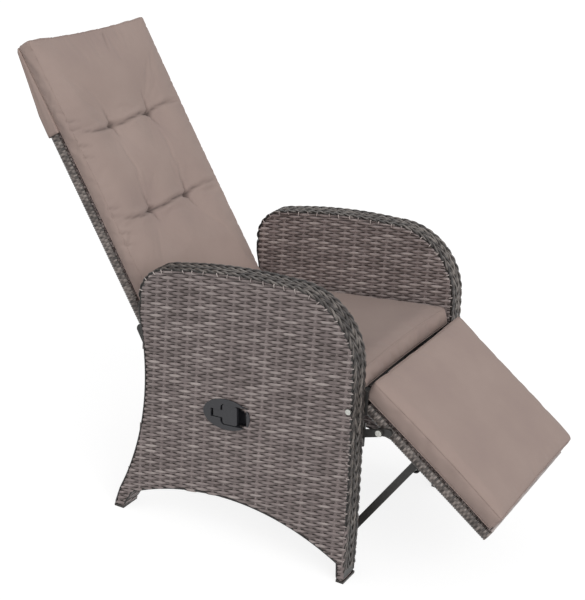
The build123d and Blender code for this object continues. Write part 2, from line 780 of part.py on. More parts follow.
footrest_deck = footrest_at * block(
    (-wrap_outer_x, wrap_outer_x),
    (footrest_far_y, footrest_near_y),
    (footrest_deck_low, footrest_deck_low + deck_thickness),
)
footrest_cushion = (
    footrest_at
    * Pos(0, footrest_cushion_near_y - footrest_cushion_length, footrest_deck_low + deck_thickness + soft_clearance)
    * cushion(footrest_cushion_length, footrest_cushion_height)
)

# Rocker: a tube across the chair with an arm at each side, turning on stub pins in bushes
strut_foot = (strut_foot_y, strut_foot_z)
rocker_tube_end = panel_inner_x - link_gap
rocker_tube = disc(rocker_pivot, rocker_tube_radius, -rocker_tube_end, rocker_tube_end)
rocker_tube -= disc(
    rocker_pivot, rocker_tube_radius - tube_wall, -rocker_tube_end + link_thickness, rocker_tube_end - link_thickness
)
for low_x in (bush_depth, rocker_tube_end - overrun):
    high_x = -rocker_tube_end + overrun if low_x < 0 else -bush_depth
    rocker_tube += disc(rocker_pivot, pin_radius, low_x, high_x)
tube_room = disc(rocker_pivot, rocker_tube_radius + sleeve_clearance, -panel_inner_x, panel_inner_x)
rocker_arm = bar(rocker_pivot, strut_foot, rocker_width, -rocker_outer_x, -rocker_inner_x)
rocker_arm += disc(rocker_pivot, rocker_tube_radius + rocker_width / 4, -rocker_outer_x, -rocker_inner_x)
rocker_arm -= tube_room
rod_front = on_line(rocker_pivot, strut_foot, rocker_rod_radius)
rod_front_pin = disc(rod_front, pin_radius, -rod_outer_x - link_gap, -rocker_inner_x + link_gap)
strut_foot_pin = disc(strut_foot, pin_radius, -rocker_outer_x - link_gap, -strut_inner_x + link_gap)
for place in (rod_front, strut_foot):
    rocker_arm -= disc(place, pin_radius + sleeve_clearance, -panel_inner_x, 0)

# Rods from the back's levers to the rocker arms
push_rod = bar(rod_rear, rod_front, rod_width, -rod_outer_x, -rod_inner_x)
push_rod -= disc(rod_front, pin_radius + running_clearance, -panel_inner_x, 0)
push_rod -= disc(rod_rear, pin_radius + rod_open_clearance, -panel_inner_x, 0)

# Struts of flat-oval tube from the rocker arms to the footrest
strut_eye_radius = pin_radius + strut_open_clearance
strut = bar(strut_foot, strut_top, strut_width, -strut_outer_x, -strut_inner_x)
strut_void_start = on_line(strut_foot, strut_top, strut_width)
strut_void_end = on_line(strut_top, strut_foot, strut_width)
strut -= bar(
    strut_void_start,
    strut_void_end,
    strut_width - strut_wall * 2,
    -strut_outer_x + strut_wall,
    -strut_inner_x - strut_wall,
)
strut += disc(strut_foot, strut_eye_radius + strut_wall * 2, -strut_outer_x, -strut_inner_x)
strut -= disc(strut_foot, strut_eye_radius, -panel_inner_x, 0)
strut -= disc(strut_top, pin_radius + running_clearance, -panel_inner_x, 0)
vent = on_line(strut_foot, strut_top, strut_width * 2)
strut -= disc(vent, bolt_radius, -strut_inner_x - strut_wall - overrun, 0)

# Gas spring: release head and rod at the front, cylinder at the rear
gas_front = (gas_front_y, gas_front_z)
gas_lug_root = (
    seat_front_y + (front_rail_range[0] + rail_size / 2) * cos(radians(seat_slope)),
    gas_front_z + gas_eye_radius * 2,
)
gas_bracket = bar(gas_lug_root, gas_front, rod_width, -lug_half_gap - lug_thickness, -lug_half_gap)
gas_bracket_room = seat_at * block(
    (-panel_inner_x, panel_inner_x), (0, seat_length), (seat_low, rail_size * 4)
)
gas_bracket -= gas_bracket_room
gas_bracket -= disc(gas_front, pin_radius + sleeve_clearance, -panel_inner_x, 0)
seat_front_rail += gas_bracket
seat_front_rail += mirrored(gas_bracket)
gas_front_pin = disc(gas_front, pin_radius, -lug_half_gap - lug_thickness, lug_half_gap + lug_thickness)
eye_x_range = (-gas_eye_half_width, gas_eye_half_width)
release_head = slab(Circle(gas_eye_radius), *eye_x_range)
release_head += block(eye_x_range, (0, head_length), (-head_height / 2, head_height / 2))
release_head -= slab(Circle(pin_radius + running_clearance), -panel_inner_x, panel_inner_x)
rod_socket_range = (head_length / 2 + pin_radius, head_length + overrun)
release_head -= round_bar("y", gas_rod_radius, *rod_socket_range, (0, 0))
stud_place = (release_stud_place, 0)
stud_end = -gas_eye_half_width - release_lever_thickness - link_gap
release_head += disc(stud_place, release_stud_radius, stud_end, -gas_eye_half_width + overrun) - round_bar(
    "y", gas_rod_radius, *rod_socket_range, (0, 0)
)
gas_rod = round_bar("y", gas_rod_radius, rod_socket_range[0], gas_piston_place, (0, 0))
gas_rod += round_bar(
    "y",
    gas_bore_radius - running_clearance,
    gas_piston_place,
    gas_piston_place + gas_piston_length,
    (0, 0),
)
cylinder_end = gas_length - gas_cylinder_end_gap
gas_cylinder = round_bar("y", gas_cylinder_radius, gas_cylinder_start, cylinder_end, (0, 0))
gas_cylinder -= round_bar(
    "y", gas_bore_radius, gas_cylinder_start + gas_end_wall, cylinder_end - gas_end_wall, (0, 0)
)
gas_cylinder -= round_bar(
    "y",
    gas_rod_radius + running_clearance,
    gas_cylinder_start - overrun,
    gas_cylinder_start + gas_end_wall + overrun,
    (0, 0),
)
gas_cylinder += round_bar("y", gas_rod_radius, cylinder_end, gas_length - pin_radius * 2, (0, 0))
gas_cylinder += Pos(0, gas_length, 0) * slab(Circle(gas_eye_radius), *eye_x_range)
gas_cylinder -= Pos(0, gas_length, 0) * slab(
    Circle(pin_radius + gas_open_clearance), -panel_inner_x, panel_inner_x
)
lever_x_range = (-gas_eye_half_width - release_lever_thickness - plate_gap / 4, -gas_eye_half_width - plate_gap / 4)
lever_tip = (release_stud_place - release_lever_length / 4, release_lever_length)
release_lever = bar(stud_place, lever_tip, release_lever_width, *lever_x_range)
release_lever -= slab(Pos(*stud_place) * Circle(release_stud_radius + running_clearance), -panel_inner_x, 0)
lever_x_middle = (lever_x_range[0] + lever_x_range[1]) / 2
tab_half_width = cable_radius * 2
stop_tab = block(
    (lever_x_middle - tab_half_width, 0),
    (cable_stop_place, cable_stop_place + release_lever_thickness),
    (head_height / 2 - overrun, release_lever_length + tab_half_width),
)
stop_tab -= round_bar(
    "y",
    cable_radius + cable_open_clearance,
    cable_stop_place - overrun,
    cable_stop_place + release_lever_thickness + overrun,
    (lever_x_middle, release_lever_length),
)
release_head += stop_tab
release_wire = round_bar(
    "y",
    wire_radius,
    lever_tip[0] + release_lever_width / 2 + plate_gap,
    cable_stop_place + link_gap,
    (lever_x_middle, release_lever_length),
)
release_wire = gas_at * release_wire
release_head = gas_at * release_head
gas_rod = gas_at * gas_rod
gas_cylinder = gas_at * gas_cylinder
release_lever = gas_at * release_lever

# Release handle: bezel with a cup, paddle on a pin, and its spring
handle_plane = Plane(
    origin=(-panel_outer_x, handle_y, handle_z),
    x_dir=(0, -cos(radians(handle_tilt)), sin(radians(handle_tilt))),
    z_dir=(-1, 0, 0),
)
cup_middle = cup_start + cup_length / 2
neck_length = cup_start - neck_start
neck_middle = neck_start + neck_length / 2


def cup_face(growth):
    """The opening of the cup: a round-cornered well with the slot for the neck."""
    well = Pos(cup_middle, 0) * RectangleRounded(
        cup_length + growth * 2, cup_height + growth * 2, cup_corner + growth
    )
    return well + Pos(neck_middle, 0) * Rectangle(neck_length + growth * 2, neck_slot_height + growth * 2)


bezel = extrude(Ellipse(bezel_length / 2, bezel_height / 2), amount=bezel_proud)
bezel = fillet(bezel.edges().filter_by(GeomType.ELLIPSE).sort_by(Axis.Z)[-1], bezel_edge)
bezel += extrude(cup_face(cup_wall), amount=-cup_depth)
bezel -= Pos(0, 0, -cup_depth + cup_wall) * extrude(cup_face(0), amount=cup_depth + bezel_proud)
pin_span = neck_slot_height / 2 + cup_wall
pin_place = (paddle_pin_place, -paddle_pin_depth)


def paddle_bar(radius, low, high):
    """A round piece about the paddle's pin, across the handle."""
    return round_bar("y", radius, low, high, pin_place)


bezel -= paddle_bar(paddle_pin_radius + sleeve_clearance, -pin_span, pin_span)
paddle_pin = paddle_bar(paddle_pin_radius, -pin_span, pin_span)
grip_start = cup_start + paddle_swing_gap
grip_half_height = cup_height / 2 - paddle_gap
neck_half_height = neck_slot_height / 2 - paddle_gap
paddle = Pos(grip_start + grip_length / 2, 0, -paddle_thickness) * extrude(
    RectangleRounded(grip_length, grip_half_height * 2, grip_corner), amount=paddle_thickness + bezel_proud / 2
)
paddle += block(
    (paddle_pin_place, grip_start + grip_corner),
    (-neck_half_height, neck_half_height),
    (-paddle_thickness, bezel_proud / 2),
)
paddle += paddle_bar(paddle_hub_radius, -neck_half_height, neck_half_height)
paddle -= paddle_bar(paddle_pin_radius + running_clearance, -pin_span, pin_span)
spring_half = spring_width / 2
paddle -= paddle_bar(spring_radius + running_clearance * 4, -spring_half - running_clearance, spring_half + running_clearance)
paddle_spring = paddle_bar(spring_radius, -spring_half, spring_half)
paddle_spring -= paddle_bar(paddle_pin_radius + sleeve_clearance, -pin_span, pin_span)

bezel = handle_plane * bezel
paddle = handle_plane * paddle
paddle_pin = handle_plane * paddle_pin
paddle_spring = handle_plane * paddle_spring
cup_room = handle_plane * (
    Pos(0, 0, -cup_depth - sleeve_clearance)
    * extrude(cup_face(cup_wall + sleeve_clearance), amount=cup_depth + sleeve_clearance)
)
side_weave_left = mirrored(side_weave)
side_weave -= cup_room

# Release cable from the back of the cup to the stop on the head of the gas spring
cable_exit = (handle_plane * Pos(neck_middle, 0, -cup_depth)).position
cable_stop = (gas_at * Pos(lever_x_middle, cable_stop_place, release_lever_length)).position
cable_lead = (gas_at * Pos(lever_x_middle, cable_stop_place + cable_lead_length, release_lever_length)).position
cable_points = [cable_exit, Vector(cable_start_x, cable_exit.Y, cable_exit.Z)]
cable_points += [Vector(*place) for place in cable_places]
cable_points += [cable_lead, cable_stop]
arc_share = 0.45
cable_radii = []
for i in range(1, len(cable_points) - 1):
    run_in = cable_points[i] - cable_points[i - 1]
    run_out = cable_points[i + 1] - cable_points[i]
    half_turn = radians(run_in.get_angle(run_out) / 2)
    cable_radii.append(arc_share * min(run_in.length, run_out.length) / tan(half_turn))
print("cable radii", [round(radius, 1) for radius in cable_radii])
cable_path = FilletPolyline(*cable_points, radius=cable_radii)
release_cable = sweep(Plane(origin=cable_path @ 0, z_dir=cable_path % 0) * Circle(cable_radius), path=cable_path)
section_area = pi * cable_radius**2
print("cable volume share", round(release_cable.volume / (section_area * cable_path.length), 4))
release_cable -= gas_at * round_bar(
    "y",
    cable_bore_radius,
    cable_stop_place - overrun,
    cable_stop_place + release_lever_width,
    (lever_x_middle, release_lever_length),
)
cable_hole = disc((cable_exit.Y, cable_exit.Z), cable_radius + link_gap / 2, -panel_outer_x, -panel_inner_x + overrun)
side_weave -= cable_hole

# One STEP file for each piece
write("side_frame_right", side_frame)
write("side_frame_left", mirrored(side_frame))
write("side_weave_right", side_weave)
write("side_weave_left", side_weave_left)
write_sides("arm_braid", arm_braid)
write("front_foot_glides", front_glide, mirrored(front_glide))
write("rear_foot_glides", rear_glide, mirrored(rear_glide))
write("seat_front_rail", seat_front_rail)
write("seat_rear_rail", seat_rear_rail)
write("seat_side_rails", seat_side_rail, mirrored(seat_side_rail))
write("seat_deck", seat_deck)
write("seat_cushion", seat_cushion)
write("seat_front_bolts", front_seat_bolt, mirrored(front_seat_bolt))
write("seat_front_nuts", front_seat_nut, mirrored(front_seat_nut))
write("seat_rear_bolts", rear_seat_bolt, mirrored(rear_seat_bolt))
write_sides("footrest_hinge_arm", hinge_arm)
write("hinge_arm_bolts", *arm_bolts, *[mirrored(piece) for piece in arm_bolts])
write("footrest_pivot_bolts", footrest_pivot_bolt, mirrored(footrest_pivot_bolt))
write("footrest_pivot_nuts", footrest_pivot_nut, mirrored(footrest_pivot_nut))
write("back_pivot_bushes", back_bush, mirrored(back_bush))
write("rocker_bushes", rocker_bush, mirrored(rocker_bush))
write("back_pivot_bolts", back_pivot_bolt, mirrored(back_pivot_bolt))
write("handle_bezel", bezel)
write("paddle_pin", paddle_pin)
write("paddle_spring", paddle_spring)
write("release_paddle", paddle)
write("gas_front_pin", gas_front_pin)
write("gas_rear_pin", gas_rear_pin)
write("release_head", release_head)
write("gas_rod", gas_rod)
write("gas_cylinder", gas_cylinder)
write("release_lever", release_lever)
write("release_wire", release_wire)
write("release_cable", release_cable)
write_sides("back_lever", back_lever)
write("lever_cross_tube", lever_cross_tube)
write("rod_rear_pins", rod_rear_pin, mirrored(rod_rear_pin))
write("back_frame", back_frame)
write("back_side_wraps", back_side_wrap, mirrored(back_side_wrap))
write("back_cross_wraps", *back_cross_wraps)
write("back_deck", back_deck)
write("back_cushion", back_cushion)
write("back_cushion_pocket", back_hood)
write("footrest_frame", footrest_frame)
write("footrest_side_wraps", footrest_side_wrap, mirrored(footrest_side_wrap))
write("footrest_cross_wraps", *footrest_cross_wraps)
write("footrest_deck", footrest_deck)
write("footrest_cushion", footrest_cushion)
write("rocker_tube", rocker_tube)
write_sides("rocker_arm", rocker_arm)
write("rod_front_pins", rod_front_pin, mirrored(rod_front_pin))
write("strut_foot_pins", strut_foot_pin, mirrored(strut_foot_pin))
write_sides("push_rod", push_rod)
write_sides("footrest_strut", strut)
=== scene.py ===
# %% [markdown]
# # A reclining garden armchair
#
# The chair has two woven side panels, a woven back and footrest on wrapped tube, and four
# pieces of upholstery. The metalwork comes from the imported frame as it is, and gets its
# finishes here. Everything that is woven or sewn is made here, in metres, in the same frame.

# %% Load the frame
import json
import math
import bpy
import numpy as np
from mathutils import Matrix, Vector


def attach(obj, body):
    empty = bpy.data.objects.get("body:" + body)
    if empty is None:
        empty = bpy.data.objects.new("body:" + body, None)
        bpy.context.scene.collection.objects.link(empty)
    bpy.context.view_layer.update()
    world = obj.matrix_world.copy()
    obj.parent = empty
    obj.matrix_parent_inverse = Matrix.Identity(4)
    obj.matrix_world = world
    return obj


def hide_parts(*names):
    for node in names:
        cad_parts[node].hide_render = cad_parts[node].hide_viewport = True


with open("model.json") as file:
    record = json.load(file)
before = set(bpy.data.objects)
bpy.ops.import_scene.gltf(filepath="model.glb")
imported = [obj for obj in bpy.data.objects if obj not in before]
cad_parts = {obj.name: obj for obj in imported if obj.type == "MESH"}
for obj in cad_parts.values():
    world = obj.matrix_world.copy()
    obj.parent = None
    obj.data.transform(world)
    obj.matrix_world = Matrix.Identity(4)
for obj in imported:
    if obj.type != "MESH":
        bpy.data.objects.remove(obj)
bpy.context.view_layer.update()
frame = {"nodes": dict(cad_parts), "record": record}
scene = bpy.context.scene
MM = 0.001

# %% [markdown]
# The camera stands where the chair was looked at: to the sitter's right, ahead and above. A
# photograph's view is a place, three turns, a focal length in pixels, and a small shift where
# the picture was cropped. The three axes below are worked out from the turns.

# %% Camera
PICTURE = (585, 600)
SENSOR_WIDTH = 36
focal_pixels = 1457.95
camera_place = Vector((-2.9129, -1.4601, 1.7664))
yaw, pitch, roll = (math.radians(angle) for angle in (62.21, 20.85, 3.78))
principal_shift = (-24.1, -5.8)

forward = Vector((math.sin(yaw) * math.cos(pitch), math.cos(yaw) * math.cos(pitch), -math.sin(pitch)))
level_right = forward.cross(Vector((0, 0, 1))).normalized()
level_up = level_right.cross(forward)
camera_right = math.cos(roll) * level_right + math.sin(roll) * level_up
camera_up = math.cos(roll) * level_up - math.sin(roll) * level_right

camera_data = bpy.data.cameras.new("camera")
camera_data.sensor_width = SENSOR_WIDTH
camera_data.lens = focal_pixels * SENSOR_WIDTH / max(PICTURE)
camera_data.shift_x = -principal_shift[0] / max(PICTURE)
camera_data.shift_y = principal_shift[1] / max(PICTURE)


def put(name, data):
    """A new object of the scene."""
    made = bpy.data.objects.new(name, data)
    scene.collection.objects.link(made)
    return made


camera = put("camera", camera_data)
axes = Matrix((camera_right, camera_up, -forward)).transposed()
camera.matrix_world = Matrix.Translation(camera_place) @ axes.to_4x4()
scene.camera = camera
print("lens", round(camera_data.lens, 2), "mm")

# %% [markdown]
# Materials are trees of nodes. One small function adds a node, sets it and links its inputs,
# and another turns a hex colour, which is how a paint or yarn is usually quoted, into the
# linear values that the renderer adds up.


# %% Helpers for materials
def linear(hex_colour):
    """sRGB hex to linear: below 0.04045 a division by 12.92, above it a power of 2.4."""
    parts = np.array([int(hex_colour[i : i + 2], 16) / 255 for i in (1, 3, 5)])
    curve = np.where(parts <= 0.04045, parts / 12.92, ((parts + 0.055) / 1.055) ** 2.4)
    return (*curve.tolist(), 1.0)


def add(tree, kind, links=None, values=None, **settings):
    """Add a node, set its properties and input values, and link its inputs to other outputs, or
    to other nodes by their first output."""
    made = tree.nodes.new("ShaderNode" + kind)
    for name, value in settings.items():
        setattr(made, name, value)
    for name, value in (values or {}).items():
        made.inputs[name].default_value = value
    for name, source in (links or {}).items():
        tree.links.new(getattr(source, "outputs", [source])[0], made.inputs[name])
    return made


def empty_tree(owner):
    """The node tree of a material or a world, with nothing in it."""
    owner.use_nodes = True
    owner.node_tree.nodes.clear()
    return owner.node_tree


def new_material(name, **values):
    """A material with an empty tree but for its output and a Principled shader."""
    material = bpy.data.materials.new(name)
    tree = empty_tree(material)
    shader = add(tree, "BsdfPrincipled", values=values)
    add(tree, "OutputMaterial", links={"Surface": shader})
    return material, tree, shader


def coloured(tree, shader, factor, stops):
    """Give the shader a colour from a ramp through (place, hex colour) stops, and the ramp too."""
    made = add(tree, "ValToRGB", links={"Fac": factor})
    elements = made.color_ramp.elements
    while len(elements) < len(stops):
        elements.new(0.5)
    for element, (place, colour) in zip(elements, stops):
        element.position = place
        element.color = linear(colour)
    tree.links.new(made.outputs[0], shader.inputs["Base Color"])
    return made


def noise(tree, vector, scale, detail, roughness=0.5):
    """The value of a noise texture at a place."""
    values = {"Scale": scale, "Detail": detail, "Roughness": roughness}
    return add(tree, "TexNoise", links={"Vector": vector}, values=values).outputs["Fac"]


def bumped(tree, shader, height, strength, distance):
    """Tilt the shader's normals as a height does, up to a strength times a distance in metres."""
    values = {"Strength": strength, "Distance": distance}
    made = add(tree, "Bump", links={"Height": height}, values=values)
    tree.links.new(made.outputs[0], shader.inputs["Normal"])


# %% [markdown]
# The wicker is extruded polyethylene strand, 7 mm wide and half-round, in a mix of grey and
# brown that is streaked along its length by the die. It is satin, so each crossing carries a
# small highlight. The streaks follow the strand, so they read the piece's own UV map, whose u
# runs along the strand in metres. An attribute carries each strand's shade: its own random tone,
# with painted shade where it dips under a stake, along its edges and on its underside.

# %% Wicker materials
streak_length = 0.045
streak_width = 0.0016


def wicker_material(name, dark, middle, light, roughness):
    material, tree, shader = new_material(name, Roughness=roughness, IOR=1.5)
    strand_uv = add(tree, "UVMap", uv_map="strand")
    shade = add(tree, "Attribute", attribute_name="shade")
    scale = {"Scale": (1 / streak_length, 1 / streak_width, 1)}
    stretched = add(tree, "Mapping", links={"Vector": strand_uv}, values=scale)
    streaks = noise(tree, stretched, 1.0, 4.0, 0.6)
    mixed = add(tree, "Mix", links={"A": streaks, "B": shade.outputs["Fac"]}, values={"Factor": 0.5})
    coloured(tree, shader, mixed, [(0.3, dark), (0.5, middle), (0.7, light)])
    bumped(tree, shader, streaks, 0.25, 0.0004)
    return material


wicker = wicker_material("woven polyethylene strand", "#5A4F4C", "#8F8280", "#C6BBB6", 0.4)
braid_strand = wicker_material("plaited polyethylene strand", "#1A1614", "#38322F", "#857D77", 0.42)
winding_strand = wicker_material("wound polyethylene strand", "#352F2C", "#5E5652", "#958B85", 0.42)

# %% [markdown]
# Behind the strands it is dark: the backing sheet stands for the shaded inside of the panel.

# %% Backing material
backing, backing_tree, backing_shader = new_material("shaded inside of the weave", Roughness=0.9)
# A dark mottle of painted shade.
shade_mottle = add(backing_tree, "TexNoise", values={"Scale": 90.0, "Detail": 3.0})
coloured(backing_tree, backing_shader, shade_mottle.outputs["Fac"], [(0.3, "#1D1918"), (0.7, "#2E2826")])

# %% [markdown]
# The covers are a plain taupe polyester canvas. Its threads are about 0.6 mm apart, too fine to
# show here, so the bump is drawn at 1.6 mm. It reads the UV map that follows the cloth.

# %% Cover fabric
thread_spacing = 0.0016
wave_turns = 20 / (2 * math.pi)  # a wave texture has this many bands in a metre at scale 1


def canvas_material(name, deep, plain, pale):
    sheen = {"Sheen Weight": 0.12, "Sheen Roughness": 0.5}
    material, tree, shader = new_material(name, Roughness=0.92, IOR=1.45, **sheen)
    place = add(tree, "TexCoord")
    broad = noise(tree, place.outputs["Object"], 7.0, 5.0, 0.55)
    colour = coloured(tree, shader, broad, [(0.3, deep), (0.5, plain), (0.7, pale)])
    # The shade attribute multiplies the colour: painted shade along the back cushion's creases and over the
    # seat's cover.
    fold = add(tree, "Attribute", attribute_name="shade")
    depth = add(
        tree, "MapRange", links={"Value": fold.outputs["Fac"]},
        values={"From Min": 0.0, "From Max": 0.5, "To Min": 0.35, "To Max": 1.0},
    )
    shaded = add(
        tree, "Mix", data_type="RGBA", blend_type="MULTIPLY", values={0: 1.0},
        links={6: colour, 7: depth},
    )
    tree.links.new(shaded.outputs[2], shader.inputs["Base Color"])
    cloth_uv = add(tree, "UVMap", uv_map="cloth")
    threads = add(tree, "Math", operation="ADD")
    for i, direction in enumerate("XY"):
        bands = add(
            tree, "TexWave", links={"Vector": cloth_uv},
            values={"Scale": 1 / (thread_spacing * wave_turns), "Distortion": 0.6, "Detail": 1.0},
            wave_type="BANDS", bands_direction=direction,
        )
        tree.links.new(bands.outputs["Fac"], threads.inputs[i])
    bumped(tree, shader, threads, 0.12, 0.0003)
    return material


canvas = canvas_material("taupe polyester canvas", "#A5918A", "#A9958D", "#AD9991")

# %% [markdown]
# The metalwork is powder coated in charcoal: a thin baked paint with a faint orange-peel
# texture. Bolts and pins are zinc-plated steel, and the gas spring's rod is hard chrome. The
# handle and the bushes are moulded ABS, the cable's sheath is a soft vinyl.


# %% Metal and plastic materials
def surfaced_material(name, deep, pale, grain, depth, **values):
    """A plain finish with a slight mottle and a fine bump, both sized by the grain in metres."""
    material, tree, shader = new_material(name, **values)
    place = add(tree, "TexCoord")
    mottle = noise(tree, place.outputs["Object"], 0.2 / grain, 4.0)
    coloured(tree, shader, mottle, [(0.35, deep), (0.65, pale)])
    bumped(tree, shader, noise(tree, place.outputs["Object"], 1 / grain, 2.0), 0.3, depth)
    return material


# Each slot's finish: name, two colours, grain and depth of the bump in metres, how rough it is,
# and whether it is bare metal.
finish_of_slot = {"wicker": wicker, "braid": braid_strand, "cushion_fabric": canvas}
for slot, name, deep, pale, grain, depth, roughness, metallic in (
    ("dark_frame", "charcoal powder coat", "#302F2E", "#3B3A38", 0.0012, 0.0001, 0.42, 0.0),
    ("bright_steel", "zinc-plated steel", "#B4B4AE", "#CFCFCA", 0.0008, 0.00004, 0.32, 1.0),
    ("piston_chrome", "hard chrome", "#D5D7D8", "#E2E4E5", 0.002, 0.00001, 0.1, 1.0),
    ("handle_plastic", "textured ABS", "#2D2D31", "#343438", 0.0006, 0.00005, 0.3, 0.0),
    ("black_plastic", "dark brown ABS", "#2A2623", "#383230", 0.0008, 0.00004, 0.45, 0.0),
    ("cable_sheath", "vinyl sheath", "#141415", "#1C1C1D", 0.003, 0.00003, 0.5, 0.0),
):
    shine = {"Roughness": roughness, "Metallic": metallic}
    finish_of_slot[slot] = surfaced_material(name, deep, pale, grain, depth, **shine)
for entry in frame["record"]["subparts"]:
    node = frame["nodes"][entry["node"]]
    node.data.materials.clear()
    node.data.materials.append(finish_of_slot[entry["material_slot"]])

# %% [markdown]
# Every woven or sewn surface is a function of two parameters on a grid. The helpers below turn
# arrays of points and of four-cornered faces into an object whose place is in its mesh.


# %% Helpers for meshes
def together(*values):
    """Arrays stretched to one shape and stacked along a last axis, as for the points of a grid."""
    return np.stack(np.broadcast_arrays(*values), axis=-1)


def grid_faces(count_u, count_v, close_u=False, close_v=False):
    """Indices of the quads of a grid whose points run along v first."""
    u = np.arange(count_u if close_u else count_u - 1)[:, None]
    v = np.arange(count_v if close_v else count_v - 1)
    next_u, next_v = (u + 1) % count_u, (v + 1) % count_v
    corners = [u * count_v + v, next_u * count_v + v, next_u * count_v + next_v, u * count_v + next_v]
    return together(*corners).reshape(-1, 4)


class Surface:
    """Collects grids, with their UVs, shades and materials, for one object."""

    def __init__(self):
        self.points, self.faces, self.uvs, self.shades, self.slots = [], [], [], [], []
        self.size = 0

    def add(self, points, faces, uv, shade=0.5, slot=0):
        """Take a grid and its faces. The UVs and the shades are one for each point, or one for all."""
        points = points.reshape(-1, 3)
        count = len(points)
        self.points.append(points)
        self.faces.append(faces + self.size)
        self.uvs.append(np.broadcast_to(np.reshape(uv, (-1, 2)), (count, 2)))
        self.shades.append(np.broadcast_to(np.ravel(shade), (count,)))
        self.slots.append(np.full(len(faces), slot))
        self.size += count

    def keep_faces(self, wanted):
        """Drop the faces whose middles a test doesn't want."""
        faces = np.concatenate(self.faces)
        kept = wanted(np.concatenate(self.points)[faces].mean(axis=1))
        self.faces, self.slots = [faces[kept]], [np.concatenate(self.slots)[kept]]

    def build(self, name, materials, uv_name="strand", mirrored=False):
        """Make the object, with smooth faces. The mirrored one is flipped in x, faces and all."""
        points = np.concatenate(self.points)
        faces = np.concatenate(self.faces)
        if mirrored:
            points = points * np.array([-1, 1, 1])
            faces = faces[:, ::-1]
        mesh = bpy.data.meshes.new(name)
        mesh.from_pydata(points.tolist(), [], faces.tolist())
        uv_layer = mesh.uv_layers.new(name=uv_name)
        uv_layer.data.foreach_set("uv", np.concatenate(self.uvs)[faces.ravel()].astype(np.float32).ravel())
        shade = mesh.attributes.new("shade", "FLOAT", "POINT")
        shade.data.foreach_set("value", np.concatenate(self.shades).astype(np.float32))
        for material in materials:
            mesh.materials.append(material)
        mesh.polygons.foreach_set("material_index", np.concatenate(self.slots).astype(np.int32))
        mesh.polygons.foreach_set("use_smooth", [True] * len(faces))
        mesh.update()
        print(name, len(points), "points,", len(faces), "faces")
        return put(name, mesh)


def declare(piece, node, body):
    """Say which solid a piece replaces and what it moves with."""
    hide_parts(node)
    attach(piece, body)


random = np.random.default_rng(7)
shade_swing = 0.35
run_in = 12  # how many values of the noise are left out at each end


def wandering(count, start, step):
    """A slow random walk between 0 and 1: a running mean of noise, for shades along a strand."""
    rough = random.normal(0, 1, count + 2 * run_in)
    smooth = np.convolve(rough, np.ones(step) / step, mode="same")[run_in : run_in + count]
    return np.clip(start + smooth * shade_swing, 0, 1)


# %% [markdown]
# The side panel's outline is read off the real chair's proportions: a tapering leg in front, a
# round arm, a waist at the rear and an arch below, drawn as arcs through three points each.

# %% Outline of a side panel
panel_front, panel_depth, arm_height = -324 * MM, 624 * MM, 672 * MM
panel_outer, panel_inner = 305 * MM, 244 * MM
foot_bottom = 6 * MM


def on_panel(depth_share, height_share):
    return np.array([panel_front + depth_share * panel_depth, height_share * arm_height])


def three_point_arc(start, middle, end, count):
    """Points on the circle through three points, given as shares of the panel's depth and height.
    Its centre solves two equal-distance equations."""
    a, b, c = (on_panel(*p) for p in (start, middle, end))
    centre = np.linalg.solve(2 * np.array([b - a, c - a]), np.array([b @ b - a @ a, c @ c - a @ a]))
    angles = [math.atan2(*(p - centre)[::-1]) for p in (a, b, c)]
    turn = (angles[2] - angles[0]) % (2 * math.pi)
    if (angles[1] - angles[0]) % (2 * math.pi) > turn:
        turn -= 2 * math.pi
    along = angles[0] + turn * np.linspace(0, 1, count)
    radius = np.linalg.norm(a - centre)
    return centre + radius * together(np.cos(along), np.sin(along))


foot_share = foot_bottom / arm_height
braid_shares = (
    (0, foot_share), (0.0144, 0.491), (0.0288, 0.759), (0.1218, 0.9405), (0.3253, 1.0),
    (0.5897, 0.9881), (0.8061, 0.9539), (0.8926, 0.9092), (0.9199, 0.8185),
)
braided_part = np.concatenate([
    three_point_arc(*braid_shares[i : i + 3], count)[min(i, 1) :]
    for i, count in ((0, 60), (2, 60), (4, 40), (6, 24))
])
rear_part = np.concatenate([
    [on_panel(0.9199, 0.8185)],
    three_point_arc((0.9167, 0.7664), (0.8814, 0.4464), (0.9776, 0.0818), 60),
    [on_panel(1, foot_share)],
])
lower_part = np.concatenate([
    [on_panel(1, foot_share) - (28 * MM, 0)],
    three_point_arc((0.9183, 0.0759), (0.4776, 0.1741), (0.0385, 0.0685), 70),
    [on_panel(0, foot_share) + (21 * MM, 0)],
])


def unit(vectors):
    return vectors / np.linalg.norm(vectors, axis=1, keepdims=True)


def length_so_far(points):
    return np.append(0, np.cumsum(np.linalg.norm(np.diff(points, axis=0), axis=1)))


def along_path(points, step):
    """A path cut into equal steps: its points, the length so far and the left normals."""
    length = length_so_far(points)
    at = np.linspace(0, length[-1], max(8, round(length[-1] / step)))
    even = together(*(np.interp(at, length, column) for column in points.T))
    tangent = unit(np.gradient(even, axis=0))
    return even, at, together(-tangent[:, 1], tangent[:, 0])


braid_inset = 4.4 * MM
braid_line, braid_at, braid_normal = along_path(braided_part, 2.883 * MM)
weave_outline = np.concatenate([braid_line - braid_inset * braid_normal, rear_part[1:], lower_part])
print("braid", round(braid_at[-1], 3), "m")

# %% [markdown]
# On the real panel each strand goes round and round it, over and under upright stakes, so a row
# is a loop: along the outer face, round the rear edge, back along the inner face, round the
# front. Neighbouring rows are half a wave apart. The rows climb a little towards the front. A
# loop is a grid: along the strand, and across its half-round width.

# %% Rows of weave round a panel
row_pitch = 7.2 * MM
stake_pitch = 28.8 * MM
row_climb = math.tan(math.radians(9.0))
strand_half_width = 3.6 * MM
corner_radius = 7 * MM
face_spacing = 5.4 * MM
shortest_row = 5 * MM
corner_count = 3
lanes = np.array([-1, -0.6, 0, 0.6, 1])
